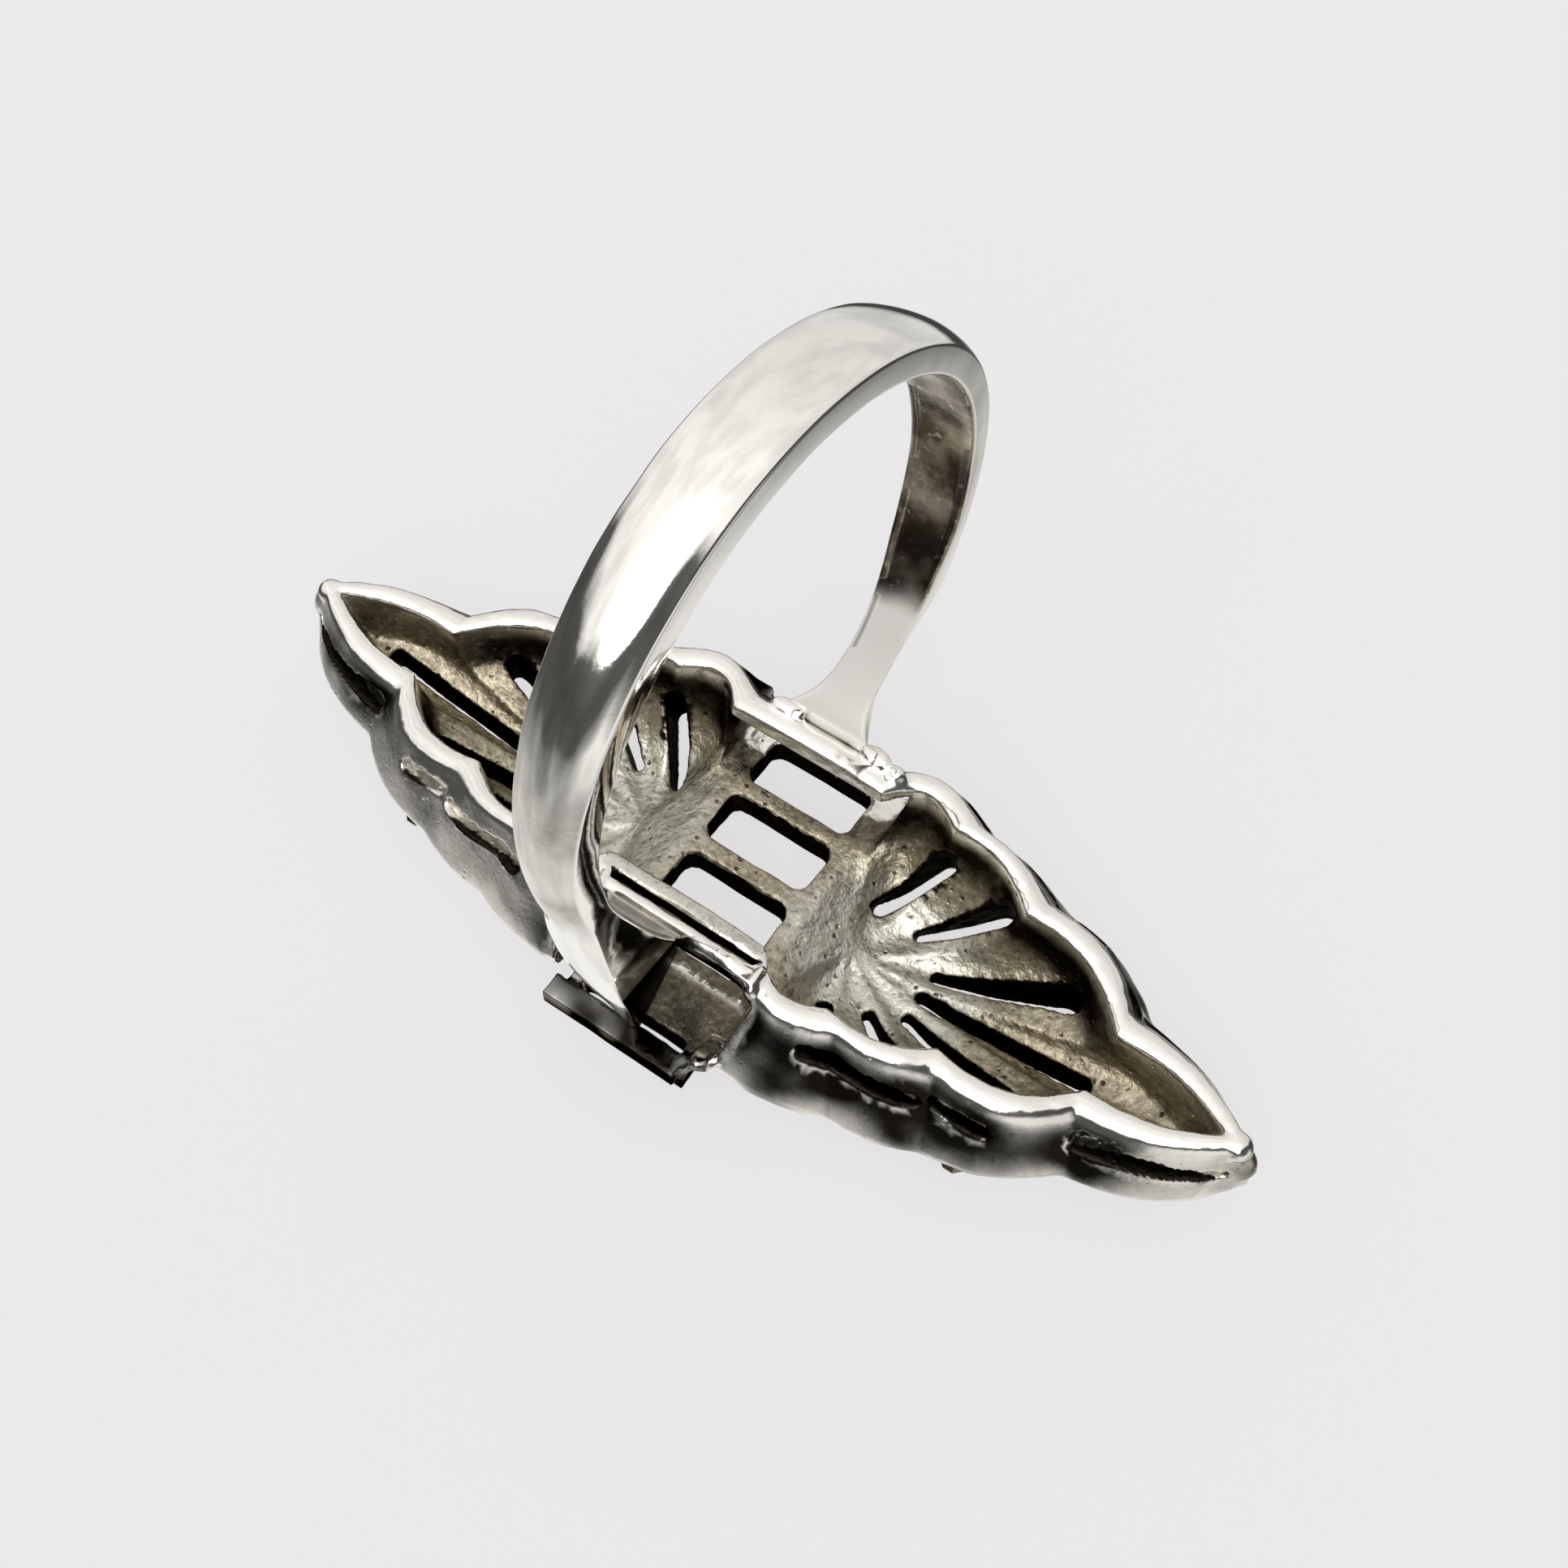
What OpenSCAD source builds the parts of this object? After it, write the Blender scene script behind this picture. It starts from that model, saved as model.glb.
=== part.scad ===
// Silver cocktail ring: a long pointed plaque of two fans of eight petals, with a cross strap.
// It rests face down, as it is laid by hand, with its shank standing up.
// X runs along the plaque, Y across it, Z up. The origin is on the surface, below the middle
// of the plaque in X and below the centre of the shank in Y.

/* [Plaque] */
// Length of the plaque over both tips, at its front outline
plaque_l = 38.2; // [34:0.1:42]
// Width of the plaque over the widest petals, at its front outline
plaque_w = 13.2; // [12:0.1:14.5]
// How far the petals bulge out at the front
petal_dome = 0.45; // [0.4:0.05:0.5]

/* [Strap] */
// How far the strap reaches from the middle, on the near side
strap_near = 7.7; // [7.4:0.1:8]
// How far it reaches on the far side
strap_far = 6.4; // [6:0.1:6.5]
// Width of the strap
strap_w = 5; // [4.8:0.1:5.4]
// Width of the slots between its bars, along X
strap_slot_w = 4.1; // [3.8:0.1:4.2]

/* [Shank] */
// Inner diameter of the shank, across the finger
finger_d = 17.15; // [16.8:0.05:17.6]
// Height of the shank's centre above the rim
shank_z = 9.9; // [9.6:0.05:10.2]
// Width of the shank half way up its sides
shank_w = 2.15; // [1.9:0.05:2.4]
// How much wider the shank is at its top
shank_top_w = 0.55; // [0:0.05:0.8]
// Thickness of the shank at its two edges
shank_edge = 0.92; // [0.8:0.02:1.1]
// How far its domed outer face stands above the edges, as a share of the charted dome
shank_dome = 1; // [0.8:0.05:1.2]
// Turn of the shank about the vertical, as it was soldered, in degrees
shank_turn = 2.8; // [0:0.1:4]
// Lean of the shank to the left, in degrees
shank_lean = 2.1; // [0:0.1:3]

/* [Stones] */
// Diameter of the stones on the petals
stone_d = 0.95; // [0.8:0.05:1.05]
// Gap between a stone and its seat
stone_gap = 0.1; // [0.08:0.01:0.12]

/* [Hidden] */

// A quarter of each outline, from the middle of a long side to the tip, a row for each corner:
// x, y, and how far the arc that leads to the corner bulges out
RIM_OUT = [[0, 4.2, 0], [2.6, 4.2, 0], [6.2, 4.45, 0.78], [9.4, 3.55, 0.3], [13.5, 1.9, 0.68], [18.4, 0, 0.5]];
RIM_IN = [[0, 3.38, 0], [3, 3.38, 0], [5.6, 3.85, 0.72], [9, 2.8, 0.45], [13.4, 1.04, 0.72], [17.65, 0, 0.35]];
FRONT = [[0, 6.4, 0], [3.15, 6.55, 0], [7, 5.75, 0.25], [10, 5, 0.2], [14.1, 3.1, 0.42], [19.1, 0, 0.7]];
// Straight steps in each arc of a quarter
STEPS = [3, 6, 5, 6, 8];

// Heights at a distance x from the middle, below the top of the rim: x, z
RIM_Z = [[0, 0], [2.15, -0.08], [6.3, -0.59], [9.4, -1.16], [13.5, -1.8], [18.4, -1.5]];
FLOOR_Z = [[0, -3.6], [2.6, -3.6], [4.6, -4.8], [7.2, -4.95], [10, -4.5], [13, -4.2], [15.3, -3.8], [17.6, -3.4]];
WALL_FOOT_Z = [[0, -3.6], [3, -3.4], [5.5, -2.4], [8.5, -2.8], [11.7, -3.4], [15, -3.6], [17.6, -3.3]];
EDGE_Z = [[0, -3.1], [3, -3.2], [7, -3.9], [19.1, -3.9]];
CROWN_Z = [[0, -4.9], [2.6, -4.9], [4.6, -5.75], [9.2, -5.8], [10.5, -5.6], [13, -5.15], [15.3, -4.85], [19.1, -4.3]];

hub_x = 4.3;             // where the petals of a fan meet
rim_round = 0.15;        // how far the rim's edges lie below its top
wall_mid = 0.5;          // place of the wall's middle line between the rim and the front outline
wall_mid_z = 0.42;       // its place in height
floor_share = 0.93;      // how far the floor reaches, as a share of the way to the rim's inner outline
floor_power = 4.3;       // how late it climbs to the foot of the wall
BACK_S = [0.04, 0.4, 0.62, 0.82, 1];
FRONT_S = [0.965, 0.87, 0.7, 0.46, 0.22, 0.04];

// Slots between the petals of the right fan, each from its inner to its outer end:
// x, y, half width, x, y, half width; the left fan has them mirrored
FAN_SLOTS = [[4.27, 1.35, 0.25, 5.6, 3.85, 0.42],
             [5.95, 1.25, 0.2, 8.2, 3.3, 0.42],
             [7.2, 0.92, 0.2, 11.5, 2.1, 0.4],
             [4.75, -2.3, 0.28, 5.6, -3.85, 0.42],
             [6.1, -1.6, 0.22, 8.2, -3.3, 0.42],
             [7.2, -0.92, 0.2, 11.5, -2.1, 0.4]];
// The slot on the middle line of the right fan and of the left one: x, half width at each end
MIDDLE_SLOTS = [[7.17, 0.2, 13.2, 0.3], [-7.17, 0.2, -15.3, 0.3]];
fan_slot_top = -2;
// Slots cut in the outer wall of a quarter: x, y, z, half height at each of the two ends
WALL_SLOTS = [[[5.6, 5.25, -1.6, 0.24], [9.15, 4.8, -2.25, 0.2]],
              [[9.75, 4.5, -2.2, 0.2], [11.4, 4.2, -2.5, 0.24]],
              [[14.1, 2.65, -2.75, 0.34], [18.2, 0.95, -2.95, 0.16]]];
wall_slot_depth = 0.8;

// Slots of the strap: first and last y
STRAP_SLOTS = [[-6.75, -6.2], [-3.7, -3], [-2.4, -0.38], [0.38, 2.4], [3, 5]];
strap_z = [-4.8, -3.6];  // its front and back
end_bar_x = [-2.7, 2.4]; // the bar at its near end
end_bar_w = 0.85;
end_bar_z = [-3.75, -2.95];
// Bar that carries the near foot beside the rim, and the slit between them: first and last corner
FOOT_BAR = [[-2.7, -4.8, -0.75], [3.4, -4.1, -0.06]];
FOOT_SLIT = [[-2.5, -4.14, -0.5], [3.1, -4.02, 0.5]];
window_in = 2.9;         // openings under the rim's middle bars: where they start in y
window_w = [7.5, 6.3];   // their width under the rim and at the front
window_z = [-0.85, -3.6];
window_cut = 5.5;        // from here outwards the plaque's edge is cut away for the strap

finger_r = finger_d / 2;
shank_x = 0.2;           // place of the shank's centre
shank_y = 0.2;
arc_end = 18;            // degrees below the centre at which the round part of the shank ends
arc_steps = 44;
// Dome of the outer face at an angle from the far side, over the top, to the near side
DOME = [[-30, 0.3], [30, 0.3], [60, 0.18], [85, 0.16], [120, 0.42], [150, 0.42], [180, 0.32], [210, 0.26]];
// How much the outer face narrows towards the feet, at the same angles
NARROW = [[-30, 0.9], [0, 1], [150, 1], [180, 0.9], [210, 0.86]];
// Each leg below the round part, one row for each section:
// y, z, left x and right x of the inner face, the same of the outer face, and its dome
NEAR_LEG = [[-6.95, 4.7, -0.9, 0.85, -8.6, 4.7, -1.25, 0.87, 0.25],
            [-6.1, 2.7, -1.1, 1.06, -8.3, 2.8, -1.15, 0.87, 0.2],
            [-5.3, 1.3, -1.5, 1.1, -8, 1.2, -0.95, 0.86, 0.15],
            [-4.75, 0.2, -2.2, 0.85, -7.7, 0, -0.5, 0.82, 0.1],
            [-4.5, -0.35, -2.2, 0.7, -7.45, -1, -0.15, 0.75, 0.08],
            [-5, -1.3, -0.9, 0.6, -7.25, -2.1, 0.05, 0.6, 0.05],
            [-6.1, -2.7, -0.3, 0.5, -6.8, -3.7, 0, 0.5, 0.03]];
FAR_LEG = [[6.95, 4.7, -0.02, 1.66, 8.6, 4.7, 0.02, 1.65, 0.25],
           [6.1, 2.7, -0.15, 1.38, 8.1, 2.8, 0.1, 1.25, 0.2],
           [5.25, 1.3, -0.46, 1.24, 7.6, 1.2, 0.1, 0.8, 0.15],
           [4.5, 0.35, -0.95, 1.3, 7.3, 0, 0, 0.5, 0.1],
           [4.2, -0.2, -2.1, 2.05, 7.1, -1, -0.1, 0.4, 0.08],
           [4.6, -0.9, -1.3, 1.5, 7, -2.1, -0.1, 0.4, 0.05],
           [5.6, -2.6, -0.3, 0.7, 6.4, -3.7, -0.2, 0.5, 0.03]];
DOME_AT = [1, 0.7, 0.35, 0, -0.35, -0.7, -1];

// Stones on the petals of a quarter: number of the arc of the front outline, place along
// that arc, and how far from the hub to there
STONES = [[1, 0, 0.53], [1, 0, 0.73],
          [2, 0.12, 0.82],
          [3, 0.5, 0.635], [3, 0.38, 0.775], [3, 0.36, 0.91],
          [4, 0.5, 0.67], [4, 0.5, 0.77], [4, 0.5, 0.87], [4, 0.78, 0.89]];
// Stones on the hub of a fan, on the middle line: x, diameter as a share of the others
HUB_STONES = [[4.3, 1.3], [5.9, 1]];
stone_rise = 0.27;       // how far a stone's table stands above the metal
stone_root = 0.38;       // how deep its back goes
bar_stone_d = 0.84;
// Stones on the strap's bars: y, z of the metal, number, pitch
BAR_STONES = [[5.7, strap_z[0], 3, 1.3], [-5, strap_z[0], 3, 1.3]];
over = 0.5;              // how far a cutter runs past what it cuts
below = -7;              // lower than all of the ring

function mix(a, b, f) = a + (b - a) * f;
function total(v, n) = n == 0 ? 0 : v[n - 1] + total(v, n - 1);
quarter_n = total(STEPS, len(STEPS));
loop_n = 4 * quarter_n;

// A point of an arc that goes from corner a to corner b and bulges out by b's third value
function arc_point(a, b, f) =
    let (d = [b.x - a.x, b.y - a.y], n = [-d.y, d.x] / norm(d))
    [a.x, a.y] + d * f + n * b.z * sin(180 * f);
// Arc number and fraction of each of the points of a quarter, the tip last
QUARTER = [for (k = [0:len(STEPS) - 1]) for (j = [0:STEPS[k] - 1]) [k, j / STEPS[k]], [len(STEPS) - 1, 1]];
function outline(table, at) =
    let (p = arc_point(table[at[0]], table[at[0] + 1], at[1]))
    [p.x * plaque_l / 38.2, p.y * plaque_w / 13.2];
function spine_x(at) = at[0] == 0 ? hub_x * at[1] : hub_x;
function dome_of(at) = at[0] == 0 ? 0 : at[0] == 4 ? sin(90 * at[1]) : sin(180 * at[1]);

// A point between the middle of a fan (s = 0) and a point p of an outline (s = 1)
function toward(p, at, s) = [mix(spine_x(at), p.x, s), p.y * s];
function back_point(at, s) =
    let (p = toward(outline(RIM_IN, at), at, floor_share * s))
    [p.x, p.y, mix(lookup(p.x, FLOOR_Z), lookup(p.x, WALL_FOOT_Z), pow(s, floor_power))];
function rim_point(at, f) =
    let (p = mix(outline(RIM_IN, at), outline(RIM_OUT, at), f), low = f == 0.5 ? 0 : rim_round)
    [p.x, p.y, lookup(p.x, RIM_Z) - low];
function wall_point(at, f, fz) =
    let (p = mix(outline(RIM_OUT, at), outline(FRONT, at), f),
         z0 = lookup(p.x, RIM_Z) - rim_round, z1 = lookup(p.x, EDGE_Z))
    [p.x, p.y, mix(z0, z1, fz)];
function front_point(at, s) =
    let (p = toward(outline(FRONT, at), at, s), edge = lookup(p.x, EDGE_Z), crown = lookup(p.x, CROWN_Z),
         swell = sqrt(1 - pow(s, 3)))
    [p.x, p.y, mix(edge, crown, swell) - petal_dome * dome_of(at) * sin(180 * min(s, 0.98)) ];

// The rings of the shell, from the middle of the hollow over the rim and round to the front
function ring_point(k, at) =
    k < 5 ? back_point(at, BACK_S[k]) :
    k < 8 ? rim_point(at, (k - 5) / 2) :
    k == 8 ? wall_point(at, wall_mid, wall_mid_z) :
    k == 9 ? wall_point(at, 1, 1) : front_point(at, FRONT_S[k - 10]);
ring_count = 10 + len(FRONT_S);

// Point i of a whole loop: the quarter is mirrored into the other three
function loop_point(k, i) =
    let (q = floor(i / quarter_n), j = i % quarter_n,
         at = QUARTER[q % 2 == 0 ? j : quarter_n - j], p = ring_point(k, at))
    [q < 2 ? p.x : -p.x, q == 0 || q == 3 ? p.y : -p.y, p.z];

// Closed skin through loops of equal length, its two end loops zipped shut across their middle
module zipped_skin(loops) {
    n = len(loops[0]);
    m = len(loops);
    half = n / 4;
    zip = [for (i = [0:n / 2 - 1]) let (a = i + half, b = n - 1 - i + half) [a, a + 1, b, b + 1]];
    polyhedron(
        points = [for (l = loops) for (p = l) p],
        faces = [
            for (k = [0:m - 2]) for (i = [0:n - 1])
                let (a = k * n + i, b = k * n + (i + 1) % n, c = b + n, d = a + n)
                for (t = [[a, d, c], [a, c, b]]) t,
            for (z = zip, e = [0, 1])
                let (a = z[0] % n, b = z[1] % n, c = z[2] % n, d = z[3] % n, o = e * (m - 1) * n)
                for (t = [[a, b, c], [a, c, d]])
                    if (t[0] != t[1] && t[1] != t[2] && t[0] != t[2])
                        e == 0 ? [t[0], t[1], t[2]] : [t[2] + o, t[1] + o, t[0] + o]
        ]);
}

module shell() {
    zipped_skin([for (k = [0:ring_count - 1]) [for (i = [0:loop_n - 1]) loop_point(k, i)]]);
}

// What is placed on one quarter, repeated on all four
module quarters() {
    for (mx = [0, 1], my = [0, 1]) mirror([mx, 0, 0]) mirror([0, my, 0]) children();
}

// Opening under the middle bar of the rim, narrower towards the front
module side_windows() {
    for (my = [0, 1]) mirror([0, my, 0]) {
        hull() for (e = [0, 1])
            translate([-window_w[e] / 2, window_in, window_z[e] - e * 0.01])
                cube([window_w[e], plaque_w, 0.01]);
        translate([-window_w[1] / 2, window_cut, below])
            cube([window_w[1], plaque_w, window_z[1] - below]);
    }
}

// Block between two opposite corners
module block(low, high) {
    translate(low) cube(high - low);
}

module strap() {
    block([-strap_w / 2, -strap_near + end_bar_w / 2, strap_z[0]], [strap_w / 2, strap_far, strap_z[1]]);
    block([end_bar_x[0], -strap_near, end_bar_z[0]], [end_bar_x[1], end_bar_w - strap_near, end_bar_z[1]]);
}

module strap_slots() {
    for (s = STRAP_SLOTS)
        block([-strap_slot_w / 2, s[0], below], [strap_slot_w / 2, s[1], strap_z[1] + over]);
}

module fan_slots() {
    for (mx = [0, 1], s = FAN_SLOTS) mirror([mx, 0, 0]) hull() for (e = [0, 3])
        translate([s[e], s[e + 1], below])
            cylinder(r = s[e + 2], h = fan_slot_top - below, $fn = 14);
    for (s = MIDDLE_SLOTS) hull() for (e = [0, 2])
        translate([s[e], 0, below])
            cylinder(r = s[e + 1], h = fan_slot_top - below, $fn = 14);
}

// Each end of a wall slot is a short peg that points out through the wall
module wall_slots() {
    for (s = WALL_SLOTS) quarters() hull() for (e = s)
        translate([e[0], e[1] - wall_slot_depth, e[2]]) rotate([-80, 0, 0])
            cylinder(r = e[3], h = 3 * wall_slot_depth, $fn = 10);
}

// Where the middle plane of the shank lies in X, for its turn and lean
function shank_mid(y, z) = shank_x + (y - shank_y) * tan(shank_turn) - (z - shank_z) * tan(shank_lean);
// One section: the inner face, the outer face, and a dome on the outer one
function section(iy, iz, il, ir, oy, oz, ol, or, dome) =
    let (d = [oy - iy, oz - iz] / norm([oy - iy, oz - iz]))
    [for (q = [[iy, iz, il, 0], [iy, iz, ir, 0],
               for (u = DOME_AT) [oy, oz, mix((or + ol) / 2, or, u), dome * (1 - u * u)]])
        [q[2], q[0] + d.x * q[3], q[1] + d.y * q[3]]];
function arc_section(a) =
    let (w = (shank_w + shank_top_w * max(0, sin(a))) / 2, c = cos(a), s = sin(a), r = finger_r + shank_edge,
         iy = shank_y + finger_r * c, iz = shank_z + finger_r * s, oy = shank_y + r * c, oz = shank_z + r * s,
         im = shank_mid(iy, iz), om = shank_mid(oy, oz), ow = (w - 0.05) * lookup(a, NARROW))
    section(iy, iz, im - w, im + w, oy, oz, om - ow, om + ow, shank_dome * lookup(a, DOME));
function leg_section(l) = section(l[0], l[1], l[2], l[3], l[4], l[5], l[6], l[7], l[8]);

// The shank from the foot of the far leg over the top to the foot of the near one
module shank() {
    loops = [
        for (k = [len(FAR_LEG) - 1:-1:0]) leg_section(FAR_LEG[k]),
        for (k = [0:arc_steps]) arc_section(mix(-arc_end, 180 + arc_end, k / arc_steps)),
        for (l = NEAR_LEG) leg_section(l)];
    n = len(loops[0]);
    m = len(loops);
    polyhedron(
        points = [for (l = loops) for (p = l) p],
        faces = [
            [for (i = [0:n - 1]) i],
            for (k = [0:m - 2]) for (i = [0:n - 1])
                let (a = k * n + i, b = k * n + (i + 1) % n, c = b + n, d = a + n)
                for (t = [[a, d, c], [a, c, b]]) t,
            [for (i = [n - 1:-1:0]) (m - 1) * n + i]]);
}

// Places of the stones: x, y, z of the metal, diameter
SIDE_STONES = [for (s = STONES) let (q = front_point([s[0], s[1]], s[2])) [q.x, q.y, q.z, stone_d]];
MIDDLE_STONES = [for (s = HUB_STONES) [s[0], 0, lookup(s[0], CROWN_Z), s[1] * stone_d]];
STRAP_STONES = [for (b = BAR_STONES) for (k = [0:b[2] - 1])
    [(k - (b[2] - 1) / 2) * b[3], b[0], b[1], bar_stone_d]];
// The ring rests on the tables of its lowest stones
rest_z = min([for (s = concat(SIDE_STONES, MIDDLE_STONES, STRAP_STONES)) s[2]]) - stone_rise;

module at_stones() {
    for (s = SIDE_STONES) quarters() translate([s[0], s[1], s[2]]) { $d = s[3]; children(); }
    for (mx = [0, 1], s = MIDDLE_STONES) mirror([mx, 0, 0])
        translate([s[0], s[1], s[2]]) { $d = s[3]; children(); }
    for (s = STRAP_STONES) translate([s[0], s[1], s[2]]) { $d = s[3]; children(); }
}

// Hole for a stone, open to the front
module seat() {
    translate([0, 0, -3 * over])
        rotate(22.5) cylinder(d = $d + 2 * stone_gap / cos(22.5), h = stone_root + stone_gap + 3 * over, $fn = 8);
}

// Eight-sided stone: a flat back, a girdle and a sloping crown up to the table
module stone() {
    r = $d / 2;
    levels = [[0.55 * r, stone_root], [r, 0.04], [0.5 * r, -stone_rise]];
    polyhedron(
        points = [for (l = levels) for (i = [0:7]) [l[0] * cos(45 * i + 22.5), l[0] * sin(45 * i + 22.5), l[1]]],
        faces = [
            [for (i = [7:-1:0]) i],
            for (k = [0:1]) for (i = [0:7])
                let (a = 8 * k + i, b = 8 * k + (i + 1) % 8) [a, b, b + 8, a + 8],
            [for (i = [0:7]) 16 + i]]);
}

module silver_ring() {
    color("silver") translate([0, -shank_y, -rest_z]) difference() {
        union() {
            difference() {
                shell();
                side_windows();
            }
            strap();
            shank();
            block(FOOT_BAR[0], FOOT_BAR[1]);
        }
        block(FOOT_SLIT[0], FOOT_SLIT[1]);
        strap_slots();
        fan_slots();
        wall_slots();
        at_stones() seat();
    }
}

module marcasites() {
    color("dimgray") translate([0, -shank_y, -rest_z]) at_stones() stone();
}

silver_ring();
marcasites();
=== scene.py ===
"""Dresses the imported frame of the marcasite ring: a cast and oxidised silver head, a polished
shank soldered to it, and small faceted stones on the hidden front."""
import math

import bmesh
import bpy
import numpy as np
from mathutils import Matrix


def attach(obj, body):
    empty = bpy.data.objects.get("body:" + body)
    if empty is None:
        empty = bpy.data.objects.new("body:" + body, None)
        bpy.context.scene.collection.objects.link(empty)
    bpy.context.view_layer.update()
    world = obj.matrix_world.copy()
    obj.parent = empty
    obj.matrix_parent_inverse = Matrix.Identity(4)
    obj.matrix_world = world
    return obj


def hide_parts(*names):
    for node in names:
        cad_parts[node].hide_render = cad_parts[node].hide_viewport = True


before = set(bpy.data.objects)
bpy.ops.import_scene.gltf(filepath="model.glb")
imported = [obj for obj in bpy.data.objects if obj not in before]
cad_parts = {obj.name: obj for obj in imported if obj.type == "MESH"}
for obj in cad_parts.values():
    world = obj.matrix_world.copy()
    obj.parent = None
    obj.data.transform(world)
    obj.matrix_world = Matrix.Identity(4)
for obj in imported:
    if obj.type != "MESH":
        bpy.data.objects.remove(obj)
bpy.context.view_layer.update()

bl_info = {
    "name": "Marcasite ring looks",
    "version": (1, 0, 0),
    "blender": (4, 5, 0),
    "location": "View3D > Sidebar > Ring",
    "description": "Dresses the frame of a marcasite ring with its cast head, shank and stones",
    "category": "Object",
}

MM = 0.001
# The head is laid out in millimetres from the top of its rim and the middle of the plaque, and this is
# where that point lies in the part's own frame
RIM_TOP = 6.2012
SHANK_Y = 0.2
HEAD_ORIGIN = np.array([0, -SHANK_Y, RIM_TOP])
QUADRANTS = ((1, 1), (-1, 1), (-1, -1), (1, -1))

# A quarter of each outline, from the middle of a long side to the tip: x, y, bulge of the arc
RIM_OUT = np.array([
    [0, 4.2, 0], [2.6, 4.2, 0], [6.2, 4.45, .78], [9.4, 3.55, .3], [13.5, 1.9, .68], [18.55, 0, .5]])
RIM_IN = np.array([
    [0, 3.38, 0], [3, 3.38, 0], [5.6, 3.85, .72], [9, 2.8, .45], [13.4, 1.04, .72], [17.65, 0, .35]])
FRONT = np.array([
    [0, 6.4, 0], [3.15, 6.55, 0], [7, 5.75, .25], [10, 5, .2], [14.1, 3.1, .42], [19.1, 0, .7]])
# Points in each arc of a quarter
ARC_POINTS = (14, 26, 20, 26, 34)
LAST_ARC = len(ARC_POINTS) - 1

# Heights below the rim's top at a distance x from the middle: x, z
RIM_Z = np.array([[0, 0], [2.15, -.08], [6.3, -.59], [9.4, -1.16], [13.5, -1.8], [18.4, -1.5]])
FLOOR_Z = np.array([
    [0, -3.6], [2.6, -3.6], [4.6, -4.8], [7.2, -4.95], [10, -4.5], [13, -4.2], [15.3, -3.8], [17.6, -3.4]])
WALL_FOOT_Z = np.array([
    [0, -3.6], [3, -3.4], [5.5, -2.4], [8.5, -2.8], [11.7, -3.4], [15, -3.6], [17.6, -3.3]])
EDGE_Z = np.array([[0, -3.1], [3, -3.2], [7, -3.9], [19.1, -3.9]])
CROWN_Z = np.array([
    [0, -4.9], [2.6, -4.9], [4.6, -5.75], [9.2, -5.8], [10.5, -5.6], [13, -5.15], [15.3, -4.85],
    [19.1, -4.3]])
# Where the petals of a fan meet, how far the floor reaches as a share of the way to the rim, how hollow
# a petal is on its back, how far it swells on its front, and how far the rim's edges are rounded down
HUB_X, FLOOR_SHARE, PETAL_HOLLOW, PETAL_DOME, RIM_ROUND = 4.3, .93, .18, .45, .15
# At this share of its way out, the outer wall has come this share of its way down
WALL_MID, WALL_MID_Z = .5, .42

# Slots between the petals of the right fan: x, y, half width at the inner and at the outer end
FAN_SLOTS = np.array([
    [4.27, 1.35, .25, 5.6, 3.85, .42], [5.95, 1.25, .2, 8.2, 3.3, .42], [7.2, .92, .2, 11.5, 2.1, .4],
    [4.75, -2.3, .28, 5.6, -3.85, .42], [6.1, -1.6, .22, 8.2, -3.3, .42], [7.2, -.92, .2, 11.5, -2.1, .4]])
# The first two lean sideways by this share of their height, about this level
LEANING, SLOT_LEAN, LEAN_Z = 2, .36, -3.2
# The slots on the middle line, of the right fan and of the left one
MIDDLE_SLOTS = np.array([[7.17, 0, .2, 13.2, 0, .3], [-7.17, 0, .2, -15.3, 0, .3]])
# Slots in the outer wall: x, y, z, half height at each end
WALL_SLOTS = np.array([
    [[5.6, 5.25, -1.6, .24], [9.15, 4.8, -2.25, .2]],
    [[9.75, 4.5, -2.2, .2], [11.4, 4.2, -2.5, .24]],
    [[14.1, 2.65, -2.75, .34], [18.2, .95, -2.95, .16]]])
# Edge where the outer wall ends beside the near foot, as points and as rows of two ends and half widths
WALL_END = np.array([[3.75, -4.75, -.7], [3.72, -5.1, -1.1], [3.5, -5.7, -2], [3.25, -6.45, -3.25]])
WALL_EDGE = np.array([[*a, .2, *b, .2] for a, b in zip(WALL_END[:-1], WALL_END[1:])])

# Lower and upper corners of the strap, of the bar at its near end, of the bar that carries the near
# foot, and of the slit between that bar and the rim
STRAP = ((-2.5, -7.3, -4.8), (2.5, 6.4, -3.6))
END_BAR = ((-2.7, -7.7, -3.75), (2.4, -6.85, -2.95))
FOOT_BAR = ((-2.7, -4.8, -.75), (3.4, -4.1, -.06))
FOOT_SLIT = ((-2.5, -4.22, -1.2), (3.1, -3.99, .5))
# The strap's openings from y to y, half their length in x, and the radius of their corners
STRAP_SLOTS = ((-6.75, -6.2), (-3.7, -3), (-2.4, -.38), (.38, 2.4), (3, 5))
STRAP_SLOT_X, STRAP_SLOT_R = 2.05, .42
# Boxes in which the walls of those openings and of that slit are black
STRAP_OXIDE = ((-2.4, -7, -4.85), (2.4, 7, -3.66))
SLIT_OXIDE = ((-2.55, -4.27, -1.2), (3.15, -3.94, -.12))

# Stones of a quarter's petals: arc of the front outline, place along it, share of the way from the hub
STONES = np.array([
    [1, 0, .53], [1, 0, .73], [2, .12, .82], [3, .5, .635], [3, .38, .775], [3, .36, .91],
    [4, .5, .67], [4, .5, .77], [4, .5, .87], [4, .78, .89]])
# Diameters of the stones on the petals, on the hubs and on the strap, and the room round each
STONE_D, HUB_STONE_D, STRAP_STONE_D, SEAT_GAP = .95, 1.235, .84, .1
# Levels of a stone from its flat back to its table: share of its radius, height, turn in degrees
STONE_LEVELS = ((.55, .38, 0), (1, .06, 0), (1, 0, 0), (.78, -.14, 22.5), (.5, -.27, 0))

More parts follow.
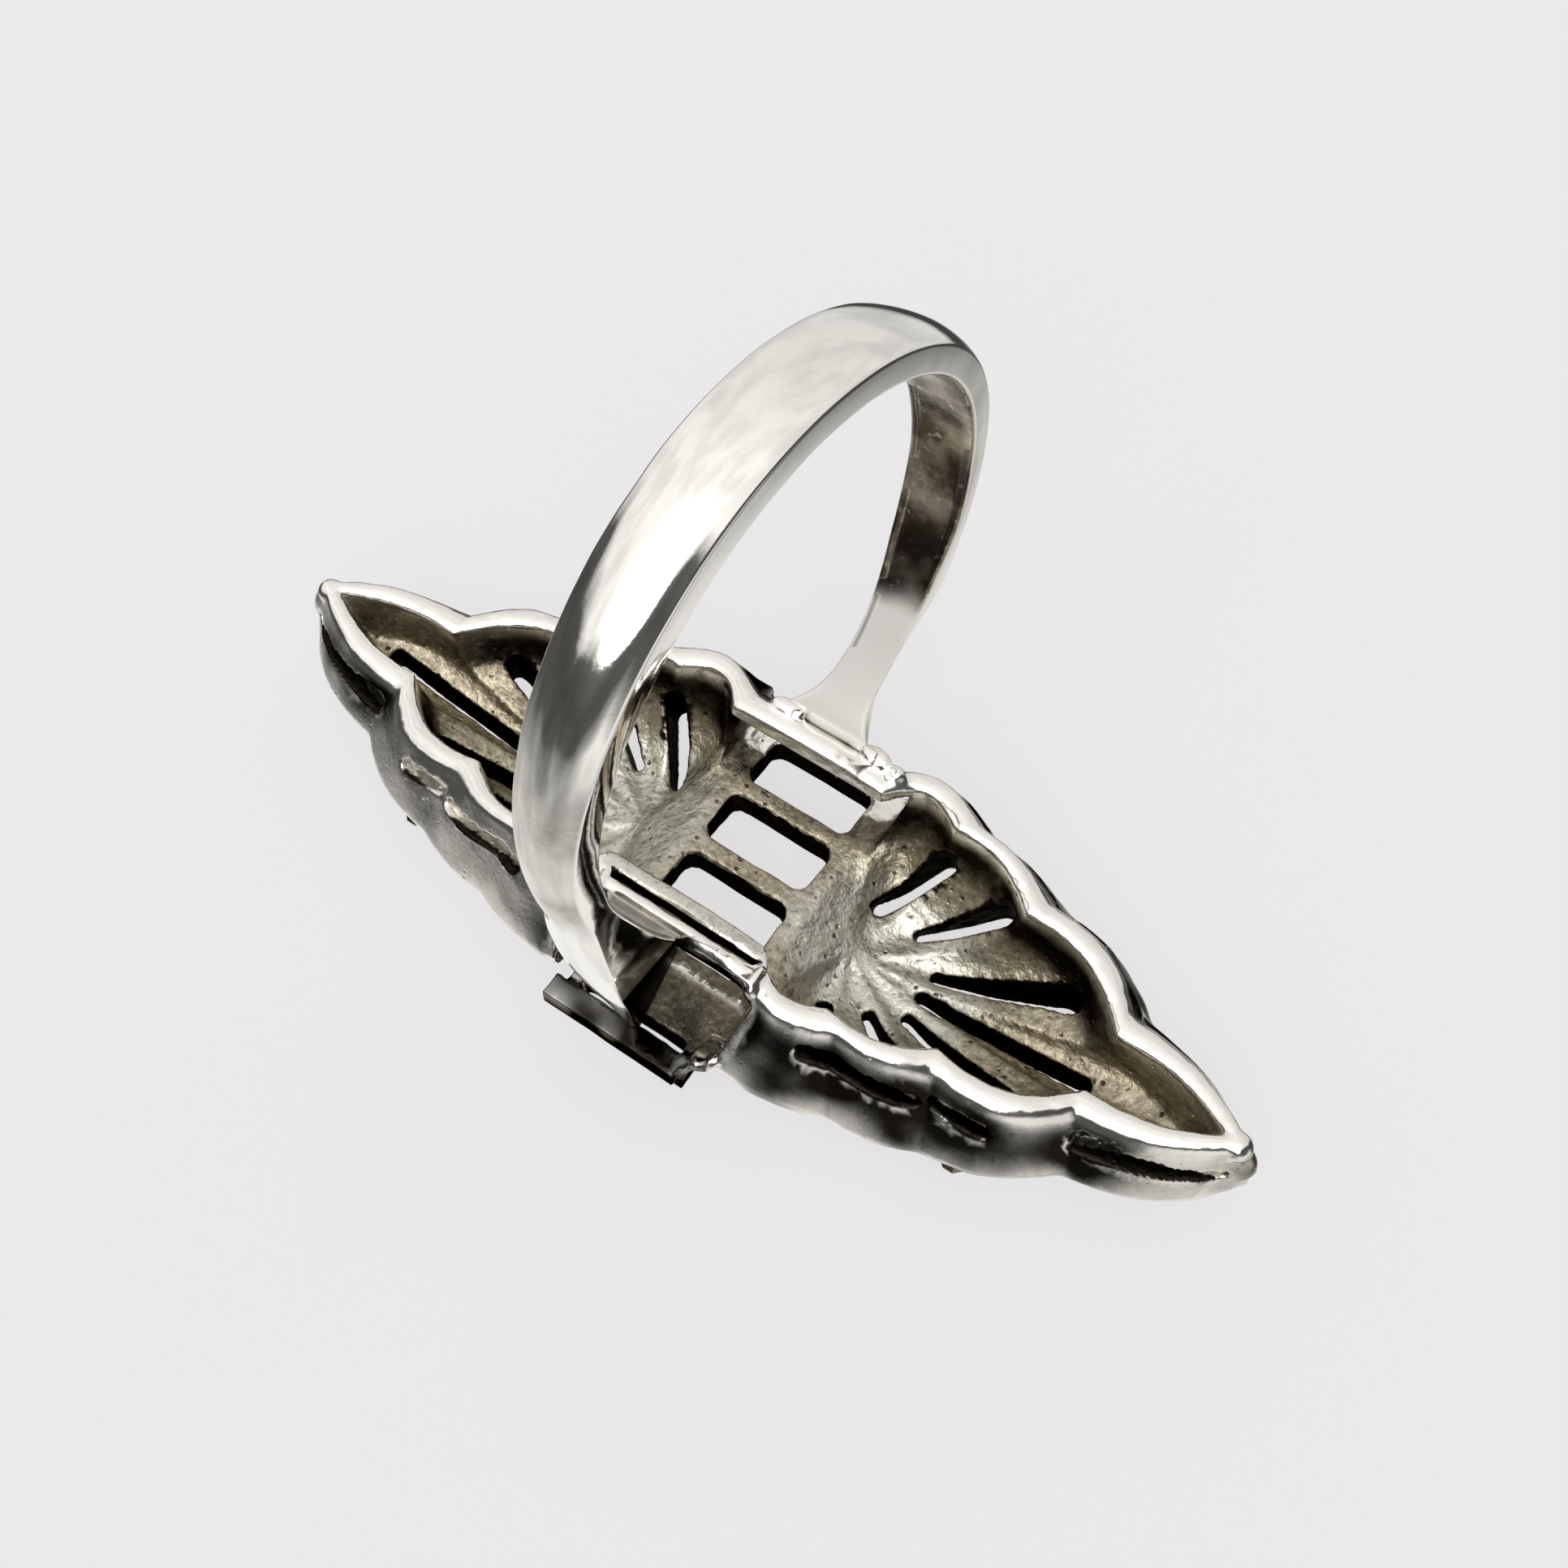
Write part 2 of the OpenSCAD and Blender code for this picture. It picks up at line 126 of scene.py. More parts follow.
# The shank: place of its middle, inner radius, thickness at its edges, turn and lean
SHANK_X, SHANK_Z, FINGER_R, SHANK_EDGE = .2, 9.9, 8.575, .92
SHANK_TURN, SHANK_LEAN = math.radians(2.8), math.radians(2.1)
# Its inner width at the feet and how much it gains at the top, how much less the outer face is wide,
# and the radius of its long edges
SHANK_WIDE, SHANK_GAIN, SHANK_LESS, EDGE_R = 2.15, .55, .05, .13
# Rise of the domed outer face and share of its width, by the angle round the finger
DOME = np.array([[-30, .3], [30, .3], [60, .18], [85, .16], [120, .42], [150, .42], [180, .32], [210, .26]])
NARROW = np.array([[-30, .9], [0, 1], [150, 1], [180, .9], [210, .86]])
# The round part reaches this many degrees below the middle
ARC_END = 18
# Legs below it: y, z, left x, right x of the inner face, the same of the outer one, rise of the dome
NEAR_LEG = np.array([
    [-6.95, 4.7, -.9, .85, -8.6, 4.7, -1.25, .87, .25],
    [-6.1, 2.7, -1.1, 1.06, -8.3, 2.8, -1.15, .87, .2],
    [-5.3, 1.3, -1.5, 1.1, -8, 1.2, -.95, .86, .15],
    [-4.75, .2, -2.2, .85, -7.7, 0, -.5, .82, .1],
    [-4.5, -.35, -2.2, .7, -7.45, -1, -.15, .75, .08],
    [-5, -1.3, -.9, .6, -7.25, -2.1, .05, .6, .05],
    [-6.1, -2.7, -.3, .5, -6.8, -3.7, 0, .5, .03]])
FAR_LEG = np.array([
    [6.95, 4.7, -.02, 1.66, 8.6, 4.7, .02, 1.65, .25],
    [6.1, 2.7, -.15, 1.38, 8.1, 2.8, .1, 1.25, .2],
    [5.25, 1.3, -.46, 1.24, 7.6, 1.2, .1, .8, .15],
    [4.5, .35, -.95, 1.3, 7.3, 0, 0, .5, .1],
    [4.2, -.2, -2.1, 2.05, 7.1, -1, -.1, .4, .08],
    [4.6, -.9, -1.3, 1.5, 7, -2.1, -.1, .4, .05],
    [5.6, -2.6, -.3, .7, 6.4, -3.7, -.2, .5, .03]])

# A piece with more triangles than this is thinned
FACE_LIMIT = 190000
# The camera, fitted to the ring's rim, shank and strap: width of its picture, focal length and optical
# centre in pixels, its right and down directions, and its place in the head's millimetres
PICTURE_PX, FOCAL_PX, CENTRE_PX, SENSOR_MM = 1932, 2241.3, (959.63, 893.63), 36
CAMERA_RIGHT = np.array([.82964814, .55682928, .04031283])
CAMERA_DOWN = np.array([.48716566, -.68680026, -.539421])
CAMERA_AT = np.array([15.4015, -24.9098, 51.1328])
# Where the studio's brightest patch lies, as seen from the ring
KEY_WAY = (.164, -.616, .771)


# Sizes and colours that a user may change

class RingSizes(bpy.types.PropertyGroup):
    """Sizes of the finish on the ring"""
    grain: bpy.props.FloatProperty(
        name="Cast grain", description="Depth of the cast unevenness of the head", default=0.00003,
        min=0, max=0.0001, unit="LENGTH")
    edge_round: bpy.props.IntProperty(
        name="Edge softening", description="Smoothing passes over the head's edges", default=3,
        min=0, max=12)
    voxel: bpy.props.FloatProperty(
        name="Detail", description="Size of the smallest detail of the cast head", default=0.0001,
        min=0.00008, max=0.0003, unit="LENGTH")


class RingColours(bpy.types.PropertyGroup):
    """Colours of the metals, the stones and the floor"""
    polish: bpy.props.StringProperty(name="Polished silver", description="sRGB hex", default="F1EFEA")
    patina: bpy.props.StringProperty(name="Oxidised silver", description="sRGB hex", default="9E9480")
    soot: bpy.props.StringProperty(name="Black oxide", description="sRGB hex", default="211E1A")
    marcasite: bpy.props.StringProperty(name="Marcasite", description="sRGB hex", default="6E6A60")
    floor: bpy.props.StringProperty(name="Floor", description="sRGB hex", default="EDEBEC")


# Curves and surfaces

def polyline(x, table):
    """Straight-line lookup of x in a table of (x, value) rows."""
    return np.interp(x, table[:, 0], table[:, 1])


def ramp(x, a, b):
    """0 below a, 1 above b, and between them 3 t squared less 2 t cubed of the share t of the way."""
    t = np.clip((x - a) / (b - a), 0, 1)
    return t * t * (3 - 2 * t)


def smooth_rows(x, xs, ys):
    """Cubic curve through the rows ys at the places xs: each stretch weighs its two rows and their
    slopes by cubics of the share t, and a row's slope is that of its neighbours."""
    slope = np.gradient(ys, xs, axis=0)
    k = np.clip(np.searchsorted(xs, x) - 1, 0, len(xs) - 2)
    h = xs[k + 1] - xs[k]
    t = (x - xs[k]) / h
    if ys.ndim > 1:
        h, t = h[:, None], t[:, None]
    return ((2 * t**3 - 3 * t**2 + 1) * ys[k] + (t**3 - 2 * t**2 + t) * h * slope[k]
            + (3 * t**2 - 2 * t**3) * ys[k + 1] + (t**3 - t**2) * h * slope[k + 1])


def noise(points, size, seed):
    """Smooth random value from -1 to 1: a seeded lattice of the given cell size, where each point
    weighs the eight nodes round it by soft shares of the way to them."""
    primes = np.array([73856093, 19349663, 83492791])
    table = np.random.default_rng(seed).uniform(-1, 1, 4096)
    q = points / size
    base = np.floor(q).astype(int)
    f = q - base
    f = f * f * (3 - 2 * f)
    total = 0
    for corner in np.ndindex(2, 2, 2):
        key = np.bitwise_xor.reduce((base + corner) * primes, axis=1) & (len(table) - 1)
        share = np.where(corner, f, 1 - f)
        total = total + share[:, 0] * share[:, 1] * share[:, 2] * table[key]
    return total


def quarter_places():
    """Arc number and fraction for every point of a quarter, the tip last."""
    arc = np.concatenate([np.full(n, i) for i, n in enumerate(ARC_POINTS)] + [[LAST_ARC]])
    part = np.concatenate([np.arange(n) / n for n in ARC_POINTS] + [[1.0]])
    return arc.astype(int), part


def outline(table, arc, part):
    """Point of an arc between two corners: the chord plus a sine bulge across it."""
    a, b = table[arc], table[arc + 1]
    d = b[..., :2] - a[..., :2]
    across = np.stack([-d[..., 1], d[..., 0]], -1) / np.linalg.norm(d, axis=-1)[..., None]
    part = np.asarray(part)[..., None]
    return a[..., :2] + d * part + across * b[..., 2:3] * np.sin(np.pi * part)


def spine(arc, part):
    """Where on the middle line the fan's lines start: from 0 out to the hub along the strap."""
    return np.where(arc == 0, HUB_X * part, HUB_X)


def toward(edge, arc, part, s):
    """Point at the share s of the way from the middle line to an outline's point."""
    sx = spine(arc, part)
    return np.stack([sx + (edge[..., 0] - sx) * s, edge[..., 1] * s], -1)


def with_height(xy, z):
    """Points in space from points of the plan, with one height for all or one for each."""
    return np.concatenate([xy, np.broadcast_to(z, xy.shape[:-1])[..., None]], -1)


def petal_dome(arc, part):
    """0 between two petals and 1 in the middle of each, by a sine; the last petal is a half one."""
    return np.where(arc == 0, 0, np.where(arc == LAST_ARC, np.sin(np.pi / 2 * part), np.sin(np.pi * part)))


def back_ring(arc, part, s):
    """Floor of the hollow: a shallow sine trough in each petal, with a late climb (s to the power 4.3)
    to the foot of the wall."""
    p = toward(outline(RIM_IN, arc, part), arc, part, FLOOR_SHARE * s)
    low, high = polyline(p[..., 0], FLOOR_Z), polyline(p[..., 0], WALL_FOOT_Z)
    trough = PETAL_HOLLOW * petal_dome(arc, part) * np.sin(np.pi * s)
    return with_height(p, low + (high - low) * s**4.3 - trough)


def inner_wall_ring(arc, part, f):
    """Inner wall: from the rim's inner edge (f = 0) down to the edge of the floor (f = 1), inwards by
    f to the power 1.5, so that it starts steeply."""
    p = toward(outline(RIM_IN, arc, part), arc, part, 1 - (1 - FLOOR_SHARE) * f**1.5)
    top, foot = polyline(p[..., 0], RIM_Z) - RIM_ROUND, polyline(p[..., 0], WALL_FOOT_Z)
    return with_height(p, top + (foot - top) * f)


def rim_ring(arc, part, f):
    """Top of the rim: a low back between its two outlines, which falls by the power 2.5 of the way
    from its middle."""
    a, b = outline(RIM_IN, arc, part), outline(RIM_OUT, arc, part)
    p = a + (b - a) * f
    return with_height(p, polyline(p[..., 0], RIM_Z) - RIM_ROUND * abs(2 * f - 1)**2.5)


def wall_ring(arc, part, f):
    """Outer wall: straight from the rim's outline to the front's, with a bend at half its way."""
    a, b = outline(RIM_OUT, arc, part), outline(FRONT, arc, part)
    p = a + (b - a) * f
    top, foot = polyline(p[..., 0], RIM_Z) - RIM_ROUND, polyline(p[..., 0], EDGE_Z)
    fz = np.interp(f, [0, WALL_MID, 1], [0, WALL_MID_Z, 1])
    return with_height(p, top + (foot - top) * fz)


def front_height(x, arc, part, s):
    """Front of a petal: it swells from the edge to the crown by the root of 1 less s cubed, with a
    sine dome on each petal."""
    edge, crown = polyline(x, EDGE_Z), polyline(x, CROWN_Z)
    dome = petal_dome(arc, part)
    return edge + (crown - edge) * np.sqrt(1 - s**3) - PETAL_DOME * dome * np.sin(np.pi * np.minimum(s, .98))


def front_ring(arc, part, s):
    """Ring of the front at the share s of the way from the hub to its outline."""
    p = toward(outline(FRONT, arc, part), arc, part, s)
    return with_height(p, front_height(p[..., 0], arc, part, s))


# Rings of the head's skin, from the middle of the floor over the rim to the middle of the front: the
# surface, the places of its rings, and for each ring the shares of bare cast skin and of black oxide
SKIN = (
    (back_ring, (.04, .12, .2, .3, .4, .5, .6, .7, .78, .85, .91, .96),
     (1,) * 12, (0, 0, 0, 0, 0, 0, .02, .05, .1, .18, .28, .42)),
    (inner_wall_ring, (1, .8, .6, .4, .2),
     (1, 1, 1, .95, .6), (.6, .75, .82, .78, .5)),
    (rim_ring, (0, .12, .3, .5, .7, .88, 1),
     (.12, 0, 0, 0, 0, 0, .05), (.1, 0, 0, 0, 0, 0, .1)),
    (wall_ring, (.15, .3, .45, .6, .75, .88, 1),
     (.15, .25, .3, .3, .3, .2, .1), (.72, .85, .88, .86, .8, .66, .45)),
    (front_ring, (.985, .96, .92, .87, .8, .72, .64, .55, .46, .37, .28, .2, .12, .04),
     (.15,) * 14, (.4, .3, .2) + (.1,) * 11),
)


def whole_loops(quarter):
    """Four mirrored copies of each quarter line, joined end to end round the plaque."""
    fx, fy = np.array([-1, 1, 1]), np.array([1, -1, 1])
    n = quarter.shape[1] - 1
    return np.concatenate([quarter[:, :n], (quarter * fy)[:, n:0:-1],
                           (quarter * fx * fy)[:, :n], (quarter * fx)[:, n:0:-1]], 1)


def loop_faces(m, n):
    """Four-sided faces between m loops of n points: two neighbours of one loop and the same of the
    next."""
    i, j = np.meshgrid(np.arange(m - 1), np.arange(n), indexing="ij")
    a, b = i * n + j, i * n + (j + 1) % n
    return np.stack([a, a + n, b + n, b], -1).reshape(-1, 4).tolist()


def zipped(loops):
    """Closed skin through the loops, each end loop zipped shut across its middle line."""
    m, n = loops.shape[:2]
    half, k = n // 4, np.arange(n // 2)
    a, b = (k + half) % n, (n - 1 - k + half) % n
    lid = np.stack([a, (a + 1) % n, b, (b + 1) % n], -1)
    inner, ends = lid[1:-1], np.array([lid[0, [0, 1, 2]], lid[-1, [0, 1, 3]]])
    last = (m - 1) * n
    return loops.reshape(-1, 3), [*loop_faces(m, n), *inner.tolist(), *ends.tolist(),
                                  *(inner[:, ::-1] + last).tolist(), *(ends[:, ::-1] + last).tolist()]


def tube(sections):
    """Closed skin along equal sections, with a flat end on the first and the last."""
    m, n = sections.shape[:2]
    ends = [list(range(n)), list(range((m - 1) * n, m * n))[::-1]]
    return sections.reshape(-1, 3), loop_faces(m, n) + ends


def block(low, high):
    """Straight block between two corners."""
    lo, hi = np.array(low, float), np.array(high, float)
    x, y = np.array([lo[0], hi[0], hi[0], lo[0]]), np.array([lo[1], lo[1], hi[1], hi[1]])
    return tube(np.stack([np.stack([x, y, np.full(4, z)], -1) for z in (lo[2], hi[2])]))


def slot_body(ends, radii, along, depths, side):
    """Round-ended slot: half circles about both ends, carried along a direction from depth to depth."""
    turn = np.linspace(-np.pi / 2, np.pi / 2, 13)
    ends, along, side = np.array(ends, float), np.array(along, float), np.array(side, float)
    run = ends[1] - ends[0]
    run = run - along * (run @ along)
    run = run / np.linalg.norm(run)
    ring = np.concatenate([
        ends[e] + radii[e] * sign * (np.cos(turn)[:, None] * run + np.sin(turn)[:, None] * side)
        for e, sign in ((1, 1), (0, -1))])
    return tube(np.stack([ring + along * depth for depth in depths]))


def mirrored(body, mx, my):
    """The body with its x and y times 1 or -1."""
    points, faces = body
    return points * np.array([mx, my, 1]), faces


def blob(centre, size, turn=0.0):
    """Round lump of solder: an egg with the three half sizes, turned about the upright."""
    end = .12
    u, v = np.meshgrid(np.linspace(end, np.pi - end, 12), np.arange(20) / 20 * 2 * np.pi, indexing="ij")
    p = np.stack([np.sin(u) * np.cos(v), np.sin(u) * np.sin(v), np.cos(u)], -1) * np.array(size)
    c, s = math.cos(turn), math.sin(turn)
    return tube(p @ np.array([[c, s, 0], [-s, c, 0], [0, 0, 1]]) + np.array(centre))


def bead_line(points, radii):
    """Round wire of changing thickness along a smooth curve through points, as solder or a burr lies
    in a seam: circles across the curve, each upright on its run."""
    points, radii = np.array(points, float), np.array(radii, float)
    at = np.linspace(0, len(points) - 1, 8 * len(points))
    p = smooth_rows(at, np.arange(len(points)), points)
    r = np.interp(at, np.arange(len(points)), radii)
    run = np.gradient(p, axis=0)
    run = run / np.linalg.norm(run, axis=1)[:, None]
    side = np.cross(run, np.array([0, 0, 1.0]))
    side = side / np.linalg.norm(side, axis=1)[:, None]
    over = np.cross(side, run)
    t = np.arange(12) / 12 * 2 * np.pi
    return tube(p[:, None] + r[:, None, None] * (np.cos(t)[None, :, None] * side[:, None]
                                                 + np.sin(t)[None, :, None] * over[:, None]))


# Meshes

def joined(bodies):
    """One list of points and faces out of several closed bodies."""
    points, faces, start = [], [], 0
    for p, f in bodies:
        points.append(p)
        faces += [[i + start for i in face] for face in f]
        start += len(p)
    return np.concatenate(points), faces


def make_piece(name, body, smooth=True, keep_winding=False):
    """Mesh object at the origin from points in the head's millimetres."""
    points, faces = body
    mesh = bpy.data.meshes.new(name)
    mesh.from_pydata(((points + HEAD_ORIGIN) * MM).tolist(), [], faces)
    if not keep_winding:
        bm = bmesh.new()
        bm.from_mesh(mesh)
        bmesh.ops.recalc_face_normals(bm, faces=bm.faces)
        bm.to_mesh(mesh)
        bm.free()
    mesh.polygons.foreach_set("use_smooth", [smooth] * len(mesh.polygons))
    obj = bpy.data.objects.new(name, mesh)
    bpy.context.scene.collection.objects.link(obj)
    return obj


def apply_modifiers(obj):
    """Puts the evaluated mesh in place of the object's own."""
    deps = bpy.context.evaluated_depsgraph_get()
    mesh = bpy.data.meshes.new_from_object(obj.evaluated_get(deps))
    if not mesh.polygons:
        raise RuntimeError(f"{obj.name} has lost its faces")
    old, obj.data = obj.data, mesh
    obj.modifiers.clear()
    bpy.data.meshes.remove(old)


def modify(obj, kind, **settings):
    """Adds one modifier, sets it and applies it."""
    mod = obj.modifiers.new(kind.title(), kind)
    for key, value in settings.items():
        setattr(mod, key, value)
    apply_modifiers(obj)


def cut(obj, bodies, operation="DIFFERENCE"):
    """Takes the bodies away from obj, or joins them to it, one boolean for all of them."""
    tool = make_piece("tool", joined(bodies))
    modify(obj, "BOOLEAN", object=tool, operation=operation, solver="MANIFOLD")
    bpy.data.objects.remove(tool)


def vertices(obj):
    """The object's points in the head's millimetres."""
    out = np.empty(3 * len(obj.data.vertices))
    obj.data.vertices.foreach_get("co", out)
    return out.reshape(-1, 3) / MM - HEAD_ORIGIN


def set_vertices(obj, points):
    """Moves the object's points to these, in the head's millimetres."""
    obj.data.vertices.foreach_set("co", ((points + HEAD_ORIGIN) * MM).ravel())
    obj.data.update()


def normals(obj):
    """The direction that the surface faces at each point."""
    out = np.empty(3 * len(obj.data.vertices))
    obj.data.vertex_normals.foreach_get("vector", out)
    return out.reshape(-1, 3)


def mark(obj, name, values):
    """Stores a value for each vertex, for the material to read."""
    layer = obj.data.attributes.new(name, "FLOAT", "POINT")
    layer.data.foreach_set("value", np.asarray(values, np.float32))


def in_place(obj, node):
    """Puts a finished piece on the ring's body, in place of a CAD node."""
    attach(obj, "root")
    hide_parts(node)


# Where the skin is bare and where the oxide lies

def slot_distance(points, rows, flat):
    """Distance from points to the nearest slot's edge, negative inside: rows of two ends with their
    half widths, measured in plan if flat, else in space."""
    k = 2 if flat else 3
    best = np.full(len(points), 9.0)
    for row in rows:
        a, ra, b, rb = row[:k], row[k], row[k + 1:2 * k + 1], row[-1]
        d, q = b - a, points[:, :k] - a
        t = np.clip(q @ d / (d @ d), 0, 1)
        best = np.minimum(best, np.linalg.norm(q - t[:, None] * d, axis=1) - (ra + (rb - ra) * t))
    return best


def within(points, corners):
    """True for the points between two corners of a box."""
    return np.all((points > corners[0]) & (points < corners[1]), axis=1)


def outer_side(points, normal):
    """1 on the outer wall and the front, where the surface faces away from the middle line, else 0:
    the larger of two soft ramps over its direction, times one over its depth below the rim."""
    tip = ramp(np.abs(points[:, 0]), 16, 17.5)
    away = np.maximum(normal[:, 1] * np.sign(points[:, 1]), tip * np.abs(normal[:, 0]))
    away = np.maximum(ramp(away, .1, .35), ramp(-normal[:, 2], .2, .5))
    return away * ramp(polyline(np.abs(points[:, 0]), RIM_Z) - points[:, 2], .2, .5)


def skin_shares(obj):
    """Colours each point like the nearest place of the plain skin, and gives the colours: red the share
    of bare cast skin, green that of black oxide, blue how far off the fan's worn hub is."""
    points, faces = head_skin()
    per_ring = 4 * sum(ARC_POINTS)
    cast = np.repeat([share for row in SKIN for share in row[2]], per_ring)
    oxide = np.repeat([share for row in SKIN for share in row[3]], per_ring)
    worn_x, worn_long = 5.6, 1.25
    far = ramp(np.hypot((np.abs(points[:, 0]) - worn_x) / worn_long, points[:, 1]), .8, 4.5)
    tint = np.column_stack([cast, oxide, far, np.ones(len(points))])
    source = make_piece("zone_source", (points, faces), keep_winding=True)
    layer = source.data.color_attributes.new("zone", "FLOAT_COLOR", "POINT")
    layer.data.foreach_set("color", tint.astype(np.float32).ravel())
    obj.data.color_attributes.new("zone", "FLOAT_COLOR", "POINT")
    mod = obj.modifiers.new("Zones", "DATA_TRANSFER")
    mod.object, mod.use_vert_data = source, True
    mod.data_types_verts, mod.vert_mapping = {"COLOR_VERTEX"}, "POLYINTERP_NEAREST"
    apply_modifiers(obj)
    bpy.data.objects.remove(source)
    tint = np.empty(4 * len(obj.data.vertices), np.float32)
    obj.data.color_attributes["zone"].data.foreach_get("color", tint)
    return tint.reshape(-1, 4)


def zones(obj):
    """Stores the colours of skin_shares, after changes by place: windows of soft ramps over a point's
    distance from the slots, its place and the direction that its surface faces."""
    tint = skin_shares(obj)
    p, n = vertices(obj), normals(obj)
    x, y, z = p.T
    flat = np.abs(n[:, 2])
    upright = 1 - ramp(flat, .45, .75)
    fold = np.column_stack([np.abs(x), y])
    # Less oxide towards the tips, and on the left fan's near side
    toward_tip = ramp(np.abs(x) - 2.8 * outer_side(p, n), 11.5, 15)
    tint[:, 1] *= (1 - .55 * toward_tip) * (1 - .75 * ramp(-x, 3, 8) * ramp(-y, 2, 4))
    # Black walls in the slots between the petals
    slot = np.minimum(slot_distance(fold, FAN_SLOTS, True), slot_distance(p, MIDDLE_SLOTS, True))
    shift = np.array([0, SLOT_LEAN]) * (LEAN_Z - z)[:, None]
    leaning = slot_distance(fold - shift, FAN_SLOTS[:LEANING], True)
    below = z < polyline(np.abs(x), WALL_FOOT_Z)
    inside = upright * (1 - ramp(np.minimum(slot, leaning), .08, .22)) * below
    # The same in the strap's openings and in the slit
    inside = np.maximum(inside, .9 * upright * within(p, STRAP_OXIDE))
    inside = np.maximum(inside, within(p, SLIT_OXIDE))
    # The same in the outer wall's slots, and a polished lip round them and on the wall's end
    wall = slot_distance(np.column_stack([np.abs(x), np.abs(y), z]), WALL_SLOTS.reshape(-1, 8), False)
    ledge = ramp(flat, .65, .85)
    inside = np.maximum(inside, 1 - ramp(wall, -.08, -.02))
    inside = np.maximum(inside, (1 - ramp(wall, .03, .1)) * ledge * (z < -1))
    lip = .6 * ramp(wall, -.04, .04) * (1 - ramp(wall, .05, .13)) * (1 - ledge)
    end = slot_distance(np.column_stack([np.abs(x), y, z]), WALL_EDGE, False)
    lip = np.maximum(lip, 1 - ramp(end, -.05, .15))
    for i in (0, 1):
        tint[:, i] = np.clip(np.maximum(tint[:, i], inside) * (1 - lip), 0, 1)
    # The bar at the strap's near end, darkened as a painted dark reflection, the cavity behind it, its brown
    # skin darkened as painted shade, and the rim's middle beside the near foot
    end_bar_painted_dark = ramp(-y, 6.3, 6.6) * (z < -2.8) * (np.abs(x) < 3)
    cavity_painted_shade = (np.abs(x) < 3.1) * ramp(-y, 4.1, 4.5) * (z < -1) * (1 - end_bar_painted_dark)
    rim_bar = (np.abs(x) < 3) * ramp(-y, 3.2, 3.3) * (1 - ramp(-y, 3.95, 4.05)) * (z > -.8)
    tint[:, 0] = np.maximum(tint[:, 0], np.maximum(cavity_painted_shade, .45 * rim_bar))
    # Painted dark reflection: oxide on the strap's end bar
    tint[:, 1] = np.maximum(tint[:, 1] * (1 - end_bar_painted_dark), .82 * end_bar_painted_dark)
    # Painted shade: oxide on the brown skin of the cavity
    tint[:, 1] = np.maximum(tint[:, 1], .6 * cavity_painted_shade)
    obj.data.color_attributes["zone"].data.foreach_set("color", tint.ravel())


# Materials

# Settings of a remap with soft ends, and of a mix of two colours, which has them on inputs 6 and 7
SOFT = {"interpolation_type": "SMOOTHSTEP"}
TWO_COLOURS = {"data_type": "RGBA", "out": 2}


def colour(text):
    """sRGB hex to linear RGBA."""
    c = np.array([int(text[i:i + 2], 16) for i in (0, 2, 4)]) / 255
    c = np.where(c <= .04045, c / 12.92, ((c + .055) / 1.055)**2.4)
    return (*c.tolist(), 1.0)


def cells(size):
    """Scale of a pattern on Object coordinates whose cells are this many millimetres wide."""
    return 1 / (size * MM)


def add(tree, kind, inputs=(), out=0, **settings):
    """Adds a node with its settings, puts values or links on its inputs, given in order or by name or
    number, and returns one of its outputs."""
    node = tree.nodes.new("ShaderNode" + kind)
    for key, value in settings.items():
        setattr(node, key, value)
    for key, value in inputs.items() if isinstance(inputs, dict) else enumerate(inputs):
        if isinstance(value, bpy.types.NodeSocket):
            tree.links.new(value, node.inputs[key])
        else:
            node.inputs[key].default_value = value
    return node.outputs[out] if node.outputs else None


def new_material(name):
    """An empty material, and its tree of nodes."""
    mat = bpy.data.materials.new(name)
    mat.use_nodes = True
    mat.node_tree.nodes.clear()
    return mat, mat.node_tree


